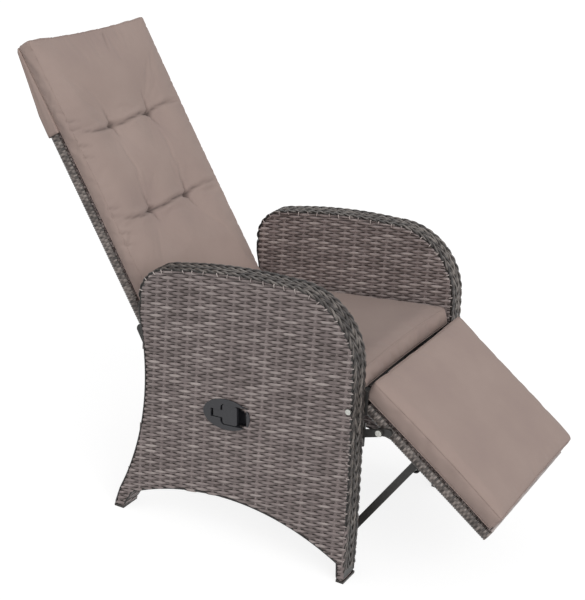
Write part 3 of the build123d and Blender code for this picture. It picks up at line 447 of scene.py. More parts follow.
# Millimetres: a row's depth under a stake, its rise over one, its half-round, its half width under
# a stake, and how much wider it lies over one.
row_depth, row_rise, row_round, row_half, row_spread = -3.6, 2.2, 1.8, 2.8, 1.0
# How far a row goes over a stake (where the crossing starts, and its span), the painted shade where a row
# dips under a stake and at a strand's edges, and how many random dash tones there are.
crossing_start, crossing_span, painted_shade_under, painted_shade_edge, dash_choices = 0.28, 0.44, 0.32, 0.26, 200
backing_depth = -4.4 * MM
panel_middle = (panel_outer + panel_inner) / 2
panel_half = (panel_outer - panel_inner) / 2
panel_faces = ((-panel_outer, -1), (-panel_inner, 1))  # x and the way out


def crossings(outline, line, level, axis=0):
    """Where a closed outline crosses the line whose dot product with a point is the level, as
    coordinates on one axis, in order."""
    above = outline @ np.array(line) - level
    next_above, next_point = np.roll(above, -1), np.roll(outline, -1, axis=0)
    cut = np.nonzero(above * next_above < 0)[0]
    share = above[cut] / (above[cut] - next_above[cut])
    return np.sort(outline[cut, axis] + share * (next_point[cut, axis] - outline[cut, axis]))


def round_turn(low, high, face_count, edge_count):
    """One turn round the panel between y = low and y = high, each an array over the lanes.
    Gives y, x from the panel's middle, the outward normal and the distance along the stakes."""
    radius = np.minimum(corner_radius, 0.4 * (high - low))
    near, far, inner_x = low + radius, high - radius, panel_half - radius
    centres = ((near, -inner_x), (far, -inner_x), (far, inner_x), (near, inner_x))
    quarter = np.linspace(0, math.pi / 2, corner_count, endpoint=False)
    sides = []
    for k, count in enumerate((face_count, edge_count, face_count, edge_count)):
        (start_y, start_x), (end_y, end_x) = centres[k], centres[(k + 1) % 4]
        share = np.append(np.linspace(0, 1, count, endpoint=False), np.ones(corner_count))[:, None]
        angle = np.append(np.zeros(count), quarter)[:, None] + (k - 1) * math.pi / 2
        cosine, sine = np.cos(angle), np.sin(angle)
        y = start_y + share * (end_y - start_y) + radius * cosine
        x = start_x + share * (end_x - start_x) + radius * sine
        sides.append(together(y, x, cosine, sine))
    y, x, normal_y, normal_x = np.moveaxis(np.concatenate(sides), -1, 0)
    between_faces = edge_count + 2 * corner_count
    past = np.linspace(0, 2 * stake_pitch, between_faces, endpoint=False)[:, None]
    inner_face = y[face_count + between_faces :][:face_count]
    return y, x, normal_y, normal_x, np.concatenate([y[:face_count], far + past, inner_face, near - past])


def dashes(stake, row):
    """One random shade for each stretch of a row that passes over a stake."""
    stretch = np.floor((stake / stake_pitch + row + 1) / 2).astype(int)
    return random.uniform(0.35, 0.85, dash_choices)[stretch % dash_choices]


stake_across, stake_bow = np.array([-5, 0, 5]) * MM, np.array([-3.2, -1.2, -3.2]) * MM
stake_step, stake_margin = 8 * MM, 6 * MM


def stakes(surface, outline):
    """The uprights between the rows: on each face a strip bowed out by its middle."""
    first, last = outline[:, 0].min() / stake_pitch, outline[:, 0].max() / stake_pitch
    for number in range(math.ceil(first), math.floor(last) + 1):
        y = number * stake_pitch
        ends = crossings(outline, (1.0, 0.0), y, axis=1)
        for low, high in zip(ends[::2], ends[1::2]):
            z = np.arange(low + stake_margin, high - stake_margin, stake_step)[:, None]
            for x_face, outward in panel_faces:
                points = together(x_face + outward * stake_bow, y + stake_across, z)
                faces = grid_faces(len(z), 3)[:, ::-outward]
                surface.add(points, faces, together(z, stake_across), random.uniform(0.3, 0.5))


def woven_panel(outline):
    """All the rows of a panel. Height over the panel: a base, a smoothed wave along the strand
    that alternates from row to row, and a half-round across the strand."""
    surface = Surface()
    stakes(surface, outline)
    row_line = (row_climb, 1.0)
    levels = outline[:, 1] + row_climb * outline[:, 0]
    rows = np.arange(math.ceil(levels.min() / row_pitch), math.floor(levels.max() / row_pitch) + 1)
    for row in rows:
        level = row * row_pitch
        middle = crossings(outline, row_line, level)
        ends = np.array([
            lane if len(lane) == len(middle) else middle
            for lane in (crossings(outline, row_line, level + t * strand_half_width) for t in lanes)
        ])
        for k in range(0, len(middle) - 1, 2):
            low, high = ends[:, k], ends[:, k + 1]
            if (high - low).min() < shortest_row:
                continue
            face_count = max(3, round((high - low).mean() / face_spacing))
            y, x, normal_y, normal_x, stake = round_turn(low, high, face_count, 9)
            wave = 0.5 + 0.5 * np.cos(math.pi * (stake / stake_pitch + row))
            over = np.clip((wave - crossing_start) / crossing_span, 0, 1)
            over = over * over * (3 - 2 * over)
            height = (row_depth + row_rise * over + row_round * np.sqrt(np.maximum(0, 1 - lanes**2))) * MM
            across = lanes * (row_half + row_spread * over) * MM
            points = together(
                -panel_middle + x + normal_x * height, y + normal_y * height, level - row_climb * y + across
            )
            count = len(y)
            distance = np.cumsum(np.hypot(np.gradient(y[:, 2]), np.gradient(x[:, 2])))
            uv = together(distance[:, None] + row * 0.37, across + row * 0.11)
            dash = dashes(stake[:, 2], row)
            # Painted shade: darker where the row dips under a stake, and towards the strand's edges.
            shade = 0.5 * dash + 0.5 * wandering(count, 0.5, 9) - painted_shade_under * (1 - over[:, 2])
            shade = np.clip(shade[:, None] - painted_shade_edge * lanes**4, 0, 1)
            surface.add(points, grid_faces(count, len(lanes), close_u=True)[:, ::-1], uv, shade)
            # A dark strip of painted shade, in the backing material, behind each row.
            outer_low, outer_high = low[[0, -1]], high[[0, -1]]
            y, x, normal_y, normal_x, _ = round_turn(outer_low, outer_high, max(2, face_count // 3), 2)
            z = level - row_climb * y + np.array([-1, 1]) * row_pitch / 2
            points = together(-panel_middle + x + normal_x * backing_depth, y + normal_y * backing_depth, z)
            surface.add(points, grid_faces(len(y), 2, close_u=True)[:, ::-1], (0, 0), 0.5, 1)
    return surface


# %% [markdown]
# The right panel has a well for the release handle, so its rows stop behind the bezel. The
# left panel is the mirror image with no well.

# %% Side panels
handle_middle = (0.0, 331 * MM)
handle_hole = (55 * MM, 31 * MM)


def outside_handle(middles):
    """On the inner side, or beyond an ellipse round the handle."""
    away = (((middles[:, 1:] - handle_middle) / handle_hole) ** 2).sum(axis=1)
    return (away > 1) | (middles[:, 0] > -panel_middle)


for side, mirrored in (("right", False), ("left", True)):
    panel = woven_panel(weave_outline)
    if not mirrored:
        panel.keep_faces(outside_handle)
    piece = panel.build(f"woven_panel_{side}", [wicker, backing], mirrored=mirrored)
    declare(piece, f"side_weave_{side}", "base")

# %% [markdown]
# The rim of the arm and of the front edge is a plait: pairs of strands twisted round each
# other, side by side, each pair turning the other way from its neighbour. A strand is a flat
# oval carried along a flattened helix that follows the outline.


# %% Plaited rim
# How far the ends taper, and how strongly painted light and shade vary round a strand.
point_taper, painted_side_shade = 0.02, 0.45


def circle(count):
    """Angles at even steps round a circle."""
    return np.linspace(0, 2 * math.pi, count, endpoint=False)


def capped_tube(surface, centre, side_axis, out_axis, half_wide, half_thick, shade, around=8, slot=0):
    """An oval carried along a path: a cosine of the angle along the side axis, and a sine along
    the way out. The axes and the shade are one for each point, or one for all. The ends shrink to
    a point, and painted light and shade run round it: lighter on the outward crown, darker on the
    sides and underneath."""
    taper = np.ones((len(centre), 1, 1))
    taper[0] = taper[-1] = point_taper
    angle = circle(around)[:, None]
    wide = half_wide * np.cos(angle) * np.reshape(side_axis, (-1, 1, 3))
    thick = half_thick * np.sin(angle) * np.reshape(out_axis, (-1, 1, 3))
    spread = np.linspace(0, 4 * half_wide, around, endpoint=False)
    uv = together(length_so_far(centre)[:, None], spread) + random.uniform(0, 3)
    lit = np.reshape(shade, (-1, 1)) + painted_side_shade * (np.sin(angle.T) - 0.6)
    shades = np.clip(lit * np.ones((len(centre), 1)), 0, 1)
    points = centre[:, None, :] + taper * (wide + thick)
    surface.add(points, grid_faces(len(centre), around, close_v=True), uv, shades, slot)


lay, samples_per_lay = 46 * MM, 14
plait_depth, plait_swing, plait_half_thick = -2.9, 1.5, 2.2 * MM
swing_share, half_width_share = 0.25, 0.29
bed_depth, bed_margin = 4.3 * MM, 2 * MM


def plait(line, pairs):
    """Pairs of strands along a line. Sideways the strand swings as a cosine, outwards as a sine."""
    surface = Surface()
    even, at, out = along_path(line, lay / samples_per_lay)
    count = len(even)
    step = (panel_outer - panel_inner) / pairs
    out_axis = together(0, *out.T)
    half_wide = half_width_share * step
    for pair in range(pairs):
        middle_x = -panel_outer + step * (pair + 0.5)
        hand = 1 if pair % 2 else -1
        for start in (0, math.pi):
            turn = 2 * math.pi * at / lay + start
            sideways = swing_share * step * np.cos(turn) * hand
            outwards = (plait_depth + plait_swing * np.sin(turn)) * MM
            centre = together(middle_x + sideways, *(even + out * outwards[:, None]).T)
            shade = wandering(count, random.uniform(0.3, 0.7), 7)
            capped_tube(surface, centre, (1, 0, 0), out_axis, half_wide, plait_half_thick, shade)
    # A dark bed of painted shade, in the backing material, under the strands.
    bed_x = np.array([bed_margin - panel_outer, -panel_inner - bed_margin])
    bed_y, bed_z = (even[:, i : i + 1] - bed_depth * out[:, i : i + 1] for i in (0, 1))
    surface.add(together(bed_x, bed_y, bed_z), grid_faces(count, 2), (0, 0), 0.5, 1)
    return surface


# %% Rims, staples and cords of each panel
staple_pitch = 28.8 * MM
staple_half_wide, staple_half_thick, staple_start = 1.5 * MM, 0.8 * MM, 1.0 * MM
cord_radius, cord_inset, cord_setback, cord_step = 2.3 * MM, 2.4 * MM, 2.2 * MM, 8 * MM
rim_start = 26 * MM


def staples(surface, x_face, outward):
    """Short light loops that tie the rim to the face: a strip from the rim onto the face, bowed
    out as a half sine."""
    count = int(braid_at[-1] / staple_pitch)
    for i in range(2, count):
        at = staple_pitch * (i + random.uniform(-0.15, 0.15))
        place = np.array([np.interp(at, braid_at, column) for column in braid_line.T])
        inward = -np.array([np.interp(at, braid_at, column) for column in braid_normal.T])
        lean = np.array([-inward[1], inward[0]]) * random.uniform(-0.3, 0.3)
        run = np.linspace(0, 1, 7)
        reach = random.uniform(9, 12) * MM
        path = place + (inward + lean) * (staple_start + run[:, None] * reach)
        bow = (0.2 + 1.5 * np.sin(math.pi * np.clip(run * 1.1, 0, 1))) * MM
        side_axis, out_axis = (0, -inward[1], inward[0]), (outward, 0, 0)
        shade = random.uniform(0.5, 0.9)
        centre = together(x_face + outward * bow, *path.T)
        capped_tube(surface, centre, side_axis, out_axis, staple_half_wide, staple_half_thick, shade, 6, 2)


def edge_cord(surface, line, x, shade):
    """A thin round cord along an outline, at one x."""
    even, _, out = along_path(line, cord_step)
    centre = together(x, *(even - cord_inset * out).T)
    capped_tube(surface, centre, (1, 0, 0), together(0, *out.T), cord_radius, cord_radius, shade)


for side, mirrored in (("right", False), ("left", True)):
    rim = plait(braid_line[braid_line[:, 1] > rim_start], 4)
    for x_face, outward in panel_faces:
        staples(rim, x_face, outward)
        cord_x = x_face - outward * cord_setback
        edge_cord(rim, rear_part, cord_x, 0.1)
        edge_cord(rim, lower_part, cord_x, 0.3)
    piece = rim.build(f"plaited_rim_{side}", [braid_strand, backing, wicker], mirrored=mirrored)
    declare(piece, f"arm_braid_{side}", "base")

# %% [markdown]
# The back, the footrest and the seat are flat sheets of the same weave on a tube frame, with
# strand wound round the tubes. A sheet's strand has a lens-shaped section, because both of its
# faces can be seen. The wound tubes are surfaces of revolution with a ridge for each turn,
# whose height waves round the tube, half a wave apart from turn to turn.


# %% Sheets and wound tubes
sheet_step, sheet_wave, sheet_half_width, sheet_half_thick = 6.5 * MM, 1.35 * MM, 3.5 * MM, 1.3 * MM
lens_points, tube_points, tube_waves = 6, 30, 5
tube_radius, core_inset, ridge_height, ridge_wave = 16 * MM, 1.7 * MM, 1.1 * MM, 0.6 * MM
turn_pitch = 5.2 * MM


def placed(origin, tilt_degrees=0):
    """A place in millimetres, with a tilt about x."""
    return Matrix.Translation(Vector(origin) * MM) @ Matrix.Rotation(math.radians(tilt_degrees), 4, "X")


seat_place = placed((0, -291, 460), -6.1)
back_place = placed((0, 204, 445), -33)
footrest_place = placed((0, -349, 362), 35.5)


def moved(points, matrix):
    """Points carried by a matrix."""
    m = np.array(matrix)
    return points @ m[:3, :3].T + m[:3, 3]


def woven_sheet(surface, half_x, length, matrix):
    """Rows along x, stacked along y from 0 to a length, about the plane z = 0. Height: a cosine
    along the strand that alternates from row to row, plus a lens across it."""
    around = circle(lens_points)
    count = round(2 * half_x / sheet_step)
    x = np.linspace(-half_x, half_x, count)
    rows = int(length / row_pitch)
    for row in range(rows):
        wave = sheet_wave * np.cos(math.pi * (x / stake_pitch + row))
        y = (row + 0.5) * length / rows + sheet_half_width * np.cos(around)
        points = together(x[:, None], y, wave[:, None] + sheet_half_thick * np.sin(around))
        uv = together(x[:, None] + row * 0.53, y - y.min() + row * 0.19)
        shade = np.repeat(wandering(count, random.uniform(0.3, 0.7), 9), lens_points)
        surface.add(moved(points, matrix), grid_faces(count, lens_points, close_v=True), uv, shade)


def wound_tube(surface, start, end, matrix):
    """A tube of wound strand from start to end. Radius: a core, plus a half-round ridge for each
    turn, whose height is a cosine of the angle round the tube."""
    start, end = np.array(start) * MM, np.array(end) * MM
    length = np.linalg.norm(end - start)
    turns = max(1, round(length / turn_pitch))
    share = np.linspace(0, 1, turns * 4 + 1)
    phase = share * turns
    row = np.minimum(np.floor(phase), turns - 1)
    ridge = np.sqrt(np.maximum(0, 1 - (2 * (phase - row) - 1) ** 2))[:, None]
    angle = circle(tube_points)
    wave = np.cos(tube_waves * angle + math.pi * row[:, None])
    radii = (tube_radius - core_inset + ridge * (ridge_height + ridge_wave * wave))[..., None]
    axis = (end - start) / length
    side = np.cross(axis, [0, 0, 1.0]) if abs(axis[2]) < 0.9 else np.array([1.0, 0, 0])
    side /= np.linalg.norm(side)
    cosine, sine = np.cos(angle)[..., None], np.sin(angle)[..., None]
    centre = start + share[:, None, None] * (end - start)
    points = centre + radii * (cosine * side + sine * np.cross(axis, side))
    uv = together(angle * tube_radius + row[:, None] * 0.7, phase[:, None] * turn_pitch)
    # Each turn's own random tone, with painted shade where the ridge dips and painted light on its crests.
    shade = np.clip(random.uniform(0.2, 0.8, turns)[row.astype(int)][:, None] + 0.3 * wave, 0, 1)
    faces = grid_faces(len(share), tube_points, close_v=True)[:, ::-1]
    surface.add(moved(points, matrix), faces, uv, shade)


# %% Back, footrest and seat weave
for part, half_x, length, matrix, body in (
    ("back", 232, 585, back_place @ placed((0, 41, 15), 90), "back"),
    ("seat", 237, 457, seat_place @ placed((0, 5.5, -3)), "base"),
    ("footrest", 232, 381, footrest_place @ placed((0, -321.5, 29.8)), "footrest"),
):
    sheet = Surface()
    woven_sheet(sheet, half_x * MM, length * MM, matrix)
    declare(sheet.build(f"{part}_weave", [wicker]), f"{part}_deck", body)

windings = {name: Surface() for name in ("back_side", "back_cross", "footrest_side", "footrest_cross")}
# Millimetres: half the distance between the side tubes, half a cross tube, and the axes' planes.
side_x, cross_x, back_y, foot_z = 217, 201, 60, 10.8
for x in (-side_x, side_x):
    wound_tube(windings["back_side"], (x, back_y, 15), (x, back_y, 600), back_place)
    wound_tube(windings["footrest_side"], (x, -322, foot_z), (x, 60, foot_z), footrest_place)
for z in (37, 584):
    wound_tube(windings["back_cross"], (-cross_x, back_y, z), (cross_x, back_y, z), back_place)
for y in (-306, 44):
    wound_tube(windings["footrest_cross"], (-cross_x, y, foot_z), (cross_x, y, foot_z), footrest_place)
for name, winding in windings.items():
    piece = winding.build(f"{name}_winding", [winding_strand])
    declare(piece, f"{name}_wraps", name.split("_")[0])

# %% [markdown]
# A box cushion is two panels of cloth and a band between them, filled with foam. Its shell
# starts as the surface of a lattice, whose edges are rounded by pushing each point out from
# the nearest point of a smaller box. Blender's cloth with a little air pressure then fills it,
# while the face that lies on the weave, the seams and the sewn tufts are held.


# %% Cushion shells
class Shell:
    """The surface of a lattice of nx by ny by nz cells: its points as shares from -1 to 1, and
    its outward faces. Both come from one array of numbers for the lattice's outer points."""

    def __init__(self, nx, ny, nz):
        cells = np.array([nx, ny, nz])
        index = np.moveaxis(np.indices(cells + 1), 0, -1)
        outer = ((index == 0) | (index == cells)).any(axis=-1)
        number = np.full(outer.shape, -1)
        number[outer] = np.arange(outer.sum())
        sheets = []
        for layer, flip in (
            (number[:, :, -1], False), (number[:, :, 0], True), (number[:, 0, :], False),
            (number[:, -1, :], True), (number[-1, :, :], False), (number[0, :, :], True),
        ):
            quads = together(layer[:-1, :-1], layer[1:, :-1], layer[1:, 1:], layer[:-1, 1:]).reshape(-1, 4)
            sheets.append(quads[:, ::-1] if flip else quads)
        self.number = number
        self.shares = 2 * index[outer] / cells - 1
        self.faces = np.concatenate(sheets)

    def rim(self, top):
        """The loop of points where the band meets the top or the bottom panel."""
        layer = self.number[:, :, -1 if top else 0]
        return np.concatenate([layer[:-1, 0], layer[-1, :-1], layer[:0:-1, -1], layer[0, :0:-1]])


def rounded(points, half, radius):
    """Push points on a box out from a smaller box, so that its edges turn by a radius."""
    core = np.clip(points, -(half - radius), half - radius)
    away = points - core
    length = np.linalg.norm(away, axis=1, keepdims=True)
    return core + away / np.maximum(length, 1e-9) * radius


welt_radius, welt_points = 1.1 * MM, 6
no_seam = (0.31, 0.12, 0.94)  # a direction that no seam runs along


def welt(surface, points):
    """A thin round welt along a closed loop of points."""
    tangent = unit(np.roll(points, -1, axis=0) - np.roll(points, 1, axis=0))
    side = unit(np.cross(tangent, no_seam))
    other = np.cross(tangent, side)
    angle = circle(welt_points)[:, None]
    ring = np.cos(angle) * side[:, None, :] + np.sin(angle) * other[:, None, :]
    faces = grid_faces(len(points), welt_points, close_u=True, close_v=True)
    surface.add(points[:, None, :] + welt_radius * ring, faces, (0, 0))


air_pressure = 4.0
cloth_steps = 20


def filled(shell, start, held, cap):
    """Fill a shell with Blender's cloth and give its points after the last step, each moved by the
    cap at most. The held weights, from 0 to 1, pin the points."""
    mesh = bpy.data.meshes.new("filling")
    mesh.from_pydata(start.tolist(), [], shell.faces.tolist())
    filling = put("filling", mesh)
    group = filling.vertex_groups.new(name="held")
    for weight in np.unique(held[held > 0]):
        group.add(np.nonzero(held == weight)[0].tolist(), float(weight), "REPLACE")
    cloth = filling.modifiers.new("cloth", "CLOTH")
    settings = cloth.settings
    settings.quality = 5
    settings.mass = 0.3
    settings.tension_stiffness = settings.compression_stiffness = 18
    settings.shear_stiffness = 6
    settings.bending_stiffness = 0.8
    settings.use_pressure = True
    settings.uniform_pressure_force = air_pressure
    settings.vertex_group_mass = "held"
    settings.shrink_min = -0.012
    settings.effector_weights.gravity = 0
    cloth.collision_settings.use_collision = False
    for step in range(1, cloth_steps + 1):
        scene.frame_set(step)
    evaluated = filling.evaluated_get(bpy.context.evaluated_depsgraph_get())
    end = np.empty(len(start) * 3, dtype=np.float32)
    evaluated.data.vertices.foreach_get("co", end)
    end = end.reshape(-1, 3).astype(float)
    scene.frame_set(1)
    bpy.data.objects.remove(filling)
    bpy.data.meshes.remove(mesh)
    move = end - start
    far = np.linalg.norm(move, axis=1, keepdims=True)
    print("  cloth moved up to", round(float(far.max()) * 1000, 1), "mm")
    return start + move * np.minimum(1, cap / np.maximum(far, 1e-9))


half_width = 238.5  # of every cushion, in millimetres


def fitted(points, length, thickness):
    """Stretch each axis evenly, so that the points just fill a cushion's box."""
    low, high = np.array([(-half_width, 0, 0), (half_width, length, thickness)]) * MM
    return low + (points - points.min(axis=0)) / np.ptp(points, axis=0) * (high - low)


def sewn(surface, part, node, body):
    """A piece of upholstery from its surface."""
    piece = surface.build(f"{part}_upholstery", [canvas], uv_name="cloth")
    declare(piece, node, body)
    return piece


def upholstered(part, shell, points, matrix, body, levels=1, shade=0.5):
    """The finished cushion: its shell and the welts of its seams, placed and declared."""
    surface = Surface()
    uv = together(points[:, 0] + points[:, 2], points[:, 1] + points[:, 2])
    surface.add(moved(points, matrix), shell.faces, uv, shade)
    for top in (True, False):
        welt(surface, moved(points[shell.rim(top)], matrix))
    smooth = sewn(surface, part, f"{part}_cushion", body).modifiers.new("smooth", "SUBSURF")
    smooth.levels = smooth.render_levels = levels


# %% [markdown]
# The seat's cushion is plain: flat below, a little crowned, with sides that draw in between the
# corners. The footrest's is the same and flatter.

# %% Seat and footrest cushions
# Millimetres: the radius of an edge, the length of a lattice cell, how far a side draws in, and
# how far a nose sags: its reach, then along, more at its middle and leaning edge, and down.
edge_radius, cell_length, side_draw = 8, 9.2, 3.5
sag_reach, sag_along, sag_middle, sag_leaning, sag_down = 45, 6, 2, 9, 8


def dome(share, power=1.0):
    """1 in the middle and 0 at both ends, as a quarter of a cosine each way, to a power."""
    return np.cos(share * math.pi / 2) ** power


def blank(cells, length, thickness, draw, seam_hold):
    """A rounded box whose long sides draw in: its shell, its points, and the held weights of its
    underside and its upper seam."""
    half = np.array([half_width, length / 2, thickness / 2]) * MM
    shell = Shell(*cells)
    points = rounded(shell.shares * half, half, edge_radius * MM)
    a, b, c = shell.shares.T
    points[:, 0] -= draw * MM * np.sign(a) * dome(b) * np.abs(a) ** 8
    held = np.where(c < -0.99, 1.0, 0.0)
    held[shell.rim(True)] = seam_hold
    return shell, points + (0, half[1], half[2]), held


def box_cushion(part, length, thickness, crown, nose, firm, matrix, body, shade=0.5):
    """A plain box cushion from y = 0 to its length. Half widths: a box, less a cosine draw along
    each side. Height: the box's, less a drop that grows with the distance from the middle. The
    nose, given by its y and its way out, sags forward over the tube. A firm cushion keeps its
    full height at its +x side and its +y end."""
    cells = (52, round(length / cell_length), 6)
    shell, points, held = blank(cells, length, thickness, side_draw, 0.35)
    a, b, c = shell.shares.T
    if not firm:
        points[:, 1] -= side_draw * MM * np.sign(b) * dome(a) * np.abs(b) ** 8
    low_a, low_b = (np.clip(share, -1, 0) if firm else share for share in (a, b))
    top_share = np.clip((c + 1) / 2, 0, 1)
    points[:, 2] -= crown * MM * (1 - dome(low_a, 0.5) * dome(low_b, 0.5)) * top_share
    points = filled(shell, points, held, 8 * MM)
    points = fitted(points, length, thickness)
    nose_y, way = nose
    sag = np.clip(1 - np.abs(points[:, 1] / MM - nose_y) / sag_reach, 0, 1) ** 1.2
    leaning = top_share if way > 0 else 1 - top_share
    points[:, 1] += way * (sag_along + sag_middle * dome(a) + sag_leaning * leaning) * MM * sag
    points[:, 2] -= sag_down * MM * sag * (1 - 0.6 * top_share) * np.clip(-way, 0, 1)
    upholstered(part, shell, points, matrix, body, shade=shade)


seat_matrix, footrest_matrix = seat_place @ placed((0, 0, 0.2)), footrest_place @ placed((0, -316.3, 33.2))
# The seat's cover gets painted shade (0.41 on the shade attribute), for the shade that the arms and the
# back cast on it.
box_cushion("seat", 468, 45.5, 3, (0, -1), False, seat_matrix, "base", 0.41)
box_cushion("footrest", 392, 60, 11, (392, 1), True, footrest_matrix, "footrest")

# %% [markdown]
# The back's cushion is softer. Two rows of tufts sew its front to its rear, and folds run
# between the tufts and out to the sides. Its top edge hangs between two stiff corners.

# %% Back cushion
back_length, back_thickness, back_draw, back_crown = 758, 53.5, 5, 5
tuft_x, tuft_rows, tuft_depth, tuft_width, stitch_reach = 80.2, (299.4, 523.0), 17, 30, 9
shell, pad, held = blank((96, 150, 10), back_length, back_thickness, back_draw, 0.3)
a, b, c = shell.shares.T
pad[:, 2] -= back_crown * MM * (1 - dome(a, 0.5) * dome(b, 0.4)) * (c + 1) / 2
for middle_x in (-tuft_x, tuft_x):
    for middle_y in tuft_rows:
        away = np.hypot(pad[:, 0] / MM - middle_x, pad[:, 1] / MM - middle_y)
        pad[:, 2] -= tuft_depth * MM * np.exp(-((away / tuft_width) ** 2)) * (c > 0.99)
        held[(away < stitch_reach) & (c > 0.99)] = 1.0
pad = filled(shell, pad, held, 22 * MM)
pad = fitted(pad, back_length, back_thickness)
# Millimetres: where the top starts to rise and over what length, its rise, and how it hangs.
rise_start, rise_length, corner_rise, middle_hang = 640, 118, 12, 4
near_top = np.clip((pad[:, 1] / MM - rise_start) / rise_length, 0, 1) ** 1.5
hang = middle_hang * MM * np.sqrt(np.clip(1 - ((a - 0.1) / 0.85) ** 2, 0, 1))
pad[:, 1] += near_top * ((corner_rise - 2 * a) * MM - hang)

front = np.clip((c - 0.6) / 0.4, 0, 1)
painted_fold_shade = np.full(len(pad), 0.5)


def crease(path, above, width, depth, fade):
    """Press a fold into the cushion's front, along a path whose heights count from a row: a narrow
    dent with a low swelling on each side, and painted shade along the dent. It fades from the
    path's start to its end by a power."""
    place, path = pad[:, :2] / MM, np.array(path) + (0, above)
    nearest, share = np.full(len(pad), 1e9), np.zeros(len(pad))
    for i, (start, end) in enumerate(zip(path[:-1], path[1:])):
        run = end - start
        t = np.clip(((place - start) @ run) / (run @ run), 0, 1)
        away = np.linalg.norm(place - start - t[:, None] * run, axis=1)
        share = np.where(away < nearest, (i + t) / (len(path) - 1), share)
        nearest = np.minimum(away, nearest)
    swelling = 0.3 * np.exp(-(((nearest - 2.4 * width) / (1.6 * width)) ** 2))
    strength = (1 - share) ** fade * front
    pad[:, 2] += depth * MM * (swelling - np.exp(-((nearest / width) ** 2))) * strength
    painted_fold_shade[:] -= 0.07 * depth * np.exp(-((nearest / (0.7 * width)) ** 2)) * strength


# Each fold of a row of tufts: its path, its width and depth in millimetres, and how it fades.
folds = (
    (((-80, 0), (-40, -3), (0, 1), (40, 5), (80, 0)), 4, 6.5, 0.0),
    (((-80, 0), (-120, -5), (-165, -2), (-205, 6)), 4, 6.5, 0.4),
    (((80, 0), (115, 9), (155, 11), (215, 6)), 4, 6.5, 0.5),
    (((80, 0), (84, 22), (78, 60)), 4, 6.0, 0.7),
    (((-80, 0), (-84, 20), (-94, 48)), 4, 5.5, 0.7),
    (((80, 0), (88, -22), (98, -44)), 4, 5.0, 0.8),
    (((-80, 0), (-74, -20), (-70, -40)), 4, 5.0, 0.8),
    (((-85, 0), (-75, 0)), 9, 5.0, 0.0),
    (((75, 0), (85, 0)), 9, 5.0, 0.0),
    (((-236, 40), (-190, 30)), 4, 3.5, 0.8),
    (((-236, 18), (-196, 14)), 4, 3.5, 0.8),
    (((-236, -22), (-192, -34)), 4, 3.5, 0.8),
    (((-236, -52), (-200, -60)), 4, 3.5, 0.8),
)
for row in tuft_rows:
    for path, width, depth, fade in folds:
        crease(path, row, width, depth, fade)
crease(((40, 742), (28, 715), (20, 690)), 0, 4, 2.5, 0.7)
back_matrix = back_place @ placed((0, 37.3, -8), 90)
painted_fold_shade = np.clip(painted_fold_shade, 0, 1)
upholstered("back", shell, pad, back_matrix, "back", 0, painted_fold_shade)

# %% [markdown]
# The pocket is sewn to the top of the cushion and pulled down over the frame: a closed band of
# cloth with a rounded top, open below. It is a ring carried up the back, drawn to a line at
# its top, with soft folds along its length.

# %% Pocket
# Millimetres: where the pocket starts and ends below its rounded top, the rise of that top and of
# it all, half its width, its front, its rear at six heights, and the radius of its rear edges.
pocket_bottom, pocket_top, top_rise, whole_rise = 541, 748, 8, 215
pocket_half, pocket_front, pocket_corner = 238.8, 37.7, 18.0
rear_heights, rear_places = (541, 600, 650, 700, 748, 756), (78.5, 77.6, 68.0, 57.5, 47.0, 39.6)
spread = np.sin(np.linspace(-math.pi / 2, math.pi / 2, 44))
short = np.linspace(-1, 1, 12)
sides = ((spread, -1.0), (1.0, short), (-spread, 1.0), (-1.0, -short))
ring = np.concatenate([together(*side)[:-1] for side in sides])
across, through = ring.T
edge = np.abs(across) ** 12
top_heights = pocket_top + top_rise * np.sin(np.linspace(0, math.pi / 2, 7))[1:]
pocket_heights = np.concatenate([np.linspace(pocket_bottom, pocket_top, 34), top_heights])
pocket_rows = []
for height in pocket_heights:
    rear = np.interp(height, rear_heights, rear_places)
    half = np.array([pocket_half, (rear - pocket_front) / 2])
    corner = min(pocket_corner, half[1])
    sharp, soft = (rounded(ring * half, half, radius) for radius in (1.5, corner))
    flat = np.where(ring[:, 1:] < 0, sharp, soft)
    rise = (height - pocket_bottom) / whole_rise
    side_fold = np.sin(math.pi * (2.2 * through + 0.8 * rise)) * np.sin(math.pi * min(1, rise * 1.15))
    rear_fold = np.sin(across * 13 + 2 * rise) * np.clip(through, 0, 1) * np.sin(math.pi * rise)
    pocket_rows.append(together(
        flat[:, 0] - np.sign(flat[:, 0]) * (0.6 + 0.9 * side_fold * edge) * edge,
        flat[:, 1] + (rear + pocket_front) / 2 - np.abs(rear_fold),
        height - 8 * (1 - across**2) * rise**6,
    ))
pocket_points = np.concatenate(pocket_rows) * MM
pocket = Surface()
pocket_uv = together(pocket_points[:, 0] + pocket_points[:, 1], pocket_points[:, 2])
pocket_faces = grid_faces(len(pocket_rows), len(ring), close_v=True)[:, ::-1]
pocket.add(moved(pocket_points, back_place), pocket_faces, pocket_uv)
wall = sewn(pocket, "pocket", "back_cushion_pocket", "back").modifiers.new("wall", "SOLIDIFY")
wall.thickness = 1.5 * MM
wall.offset = -1

# %% [markdown]
# The studio is white all round. The floor takes a soft shadow, and what the camera sees of it
# is lifted to white by a little light of its own that only camera, mirror and glass rays meet,
# so the chair isn't lit by it.


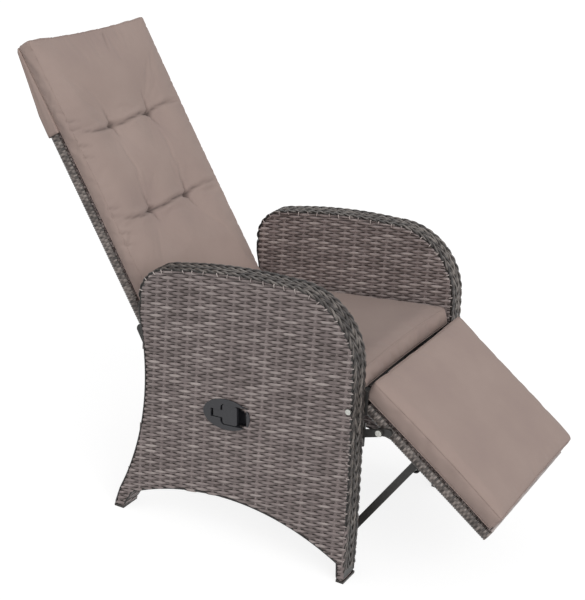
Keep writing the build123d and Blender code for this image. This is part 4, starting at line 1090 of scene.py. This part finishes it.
# %% Studio
def seen_directly(tree):
    """1 for camera, glossy and transmission rays, 0 for the rest."""
    path = add(tree, "LightPath")
    seen = path.outputs["Is Camera Ray"]
    for ray in ("Is Glossy Ray", "Is Transmission Ray"):
        links = {0: seen, 1: path.outputs[ray]}
        seen = add(tree, "Math", operation="MAXIMUM", links=links).outputs[0]
    return seen


scene.world = bpy.data.worlds.new("studio")
sky_tree = empty_tree(scene.world)
ambient, floor_grey, floor_lift, floor_half = 0.46, 0.36, 0.82, 9
white = (1, 1, 1, 1)
links = {"Value": seen_directly(sky_tree)}
level = add(sky_tree, "MapRange", links=links, values={"To Min": ambient, "To Max": 1.0})
sky = add(sky_tree, "Background", links={"Strength": level}, values={"Color": white})
add(sky_tree, "OutputWorld", links={"Surface": sky})

floor_material = bpy.data.materials.new("pale studio floor")
floor_tree = empty_tree(floor_material)
matt = add(floor_tree, "BsdfDiffuse", values={"Color": (floor_grey, floor_grey, floor_grey, 1)})
links = {0: seen_directly(floor_tree)}
lift = add(floor_tree, "Math", operation="MULTIPLY", links=links, values={1: floor_lift})
glow = add(floor_tree, "Emission", links={"Strength": lift}, values={"Color": white})
both = add(floor_tree, "AddShader", links={0: matt, 1: glow})
add(floor_tree, "OutputMaterial", links={"Surface": both})
floor_mesh = bpy.data.meshes.new("floor")
corners = [(x * floor_half, y * floor_half, 0) for x, y in ((-1, -1), (1, -1), (1, 1), (-1, 1))]
floor_mesh.from_pydata(corners, [], [(0, 1, 2, 3)])
floor_mesh.materials.append(floor_material)
put("floor", floor_mesh)


def soft_sun(name, strength, from_direction, width_degrees):
    """A lamp far away whose wide disc makes soft shadows."""
    data = bpy.data.lights.new(name, "SUN")
    data.energy = strength
    data.angle = math.radians(width_degrees)
    put(name, data).matrix_world = Vector(from_direction).to_track_quat("Z", "Y").to_matrix().to_4x4()


soft_sun("key", 1.38, (-1.3, -1.75, 1.05), 50)
soft_sun("fill", 0.3, (-2.5, 1.2, 1.4), 60)

scene.view_settings.view_transform = "Standard"
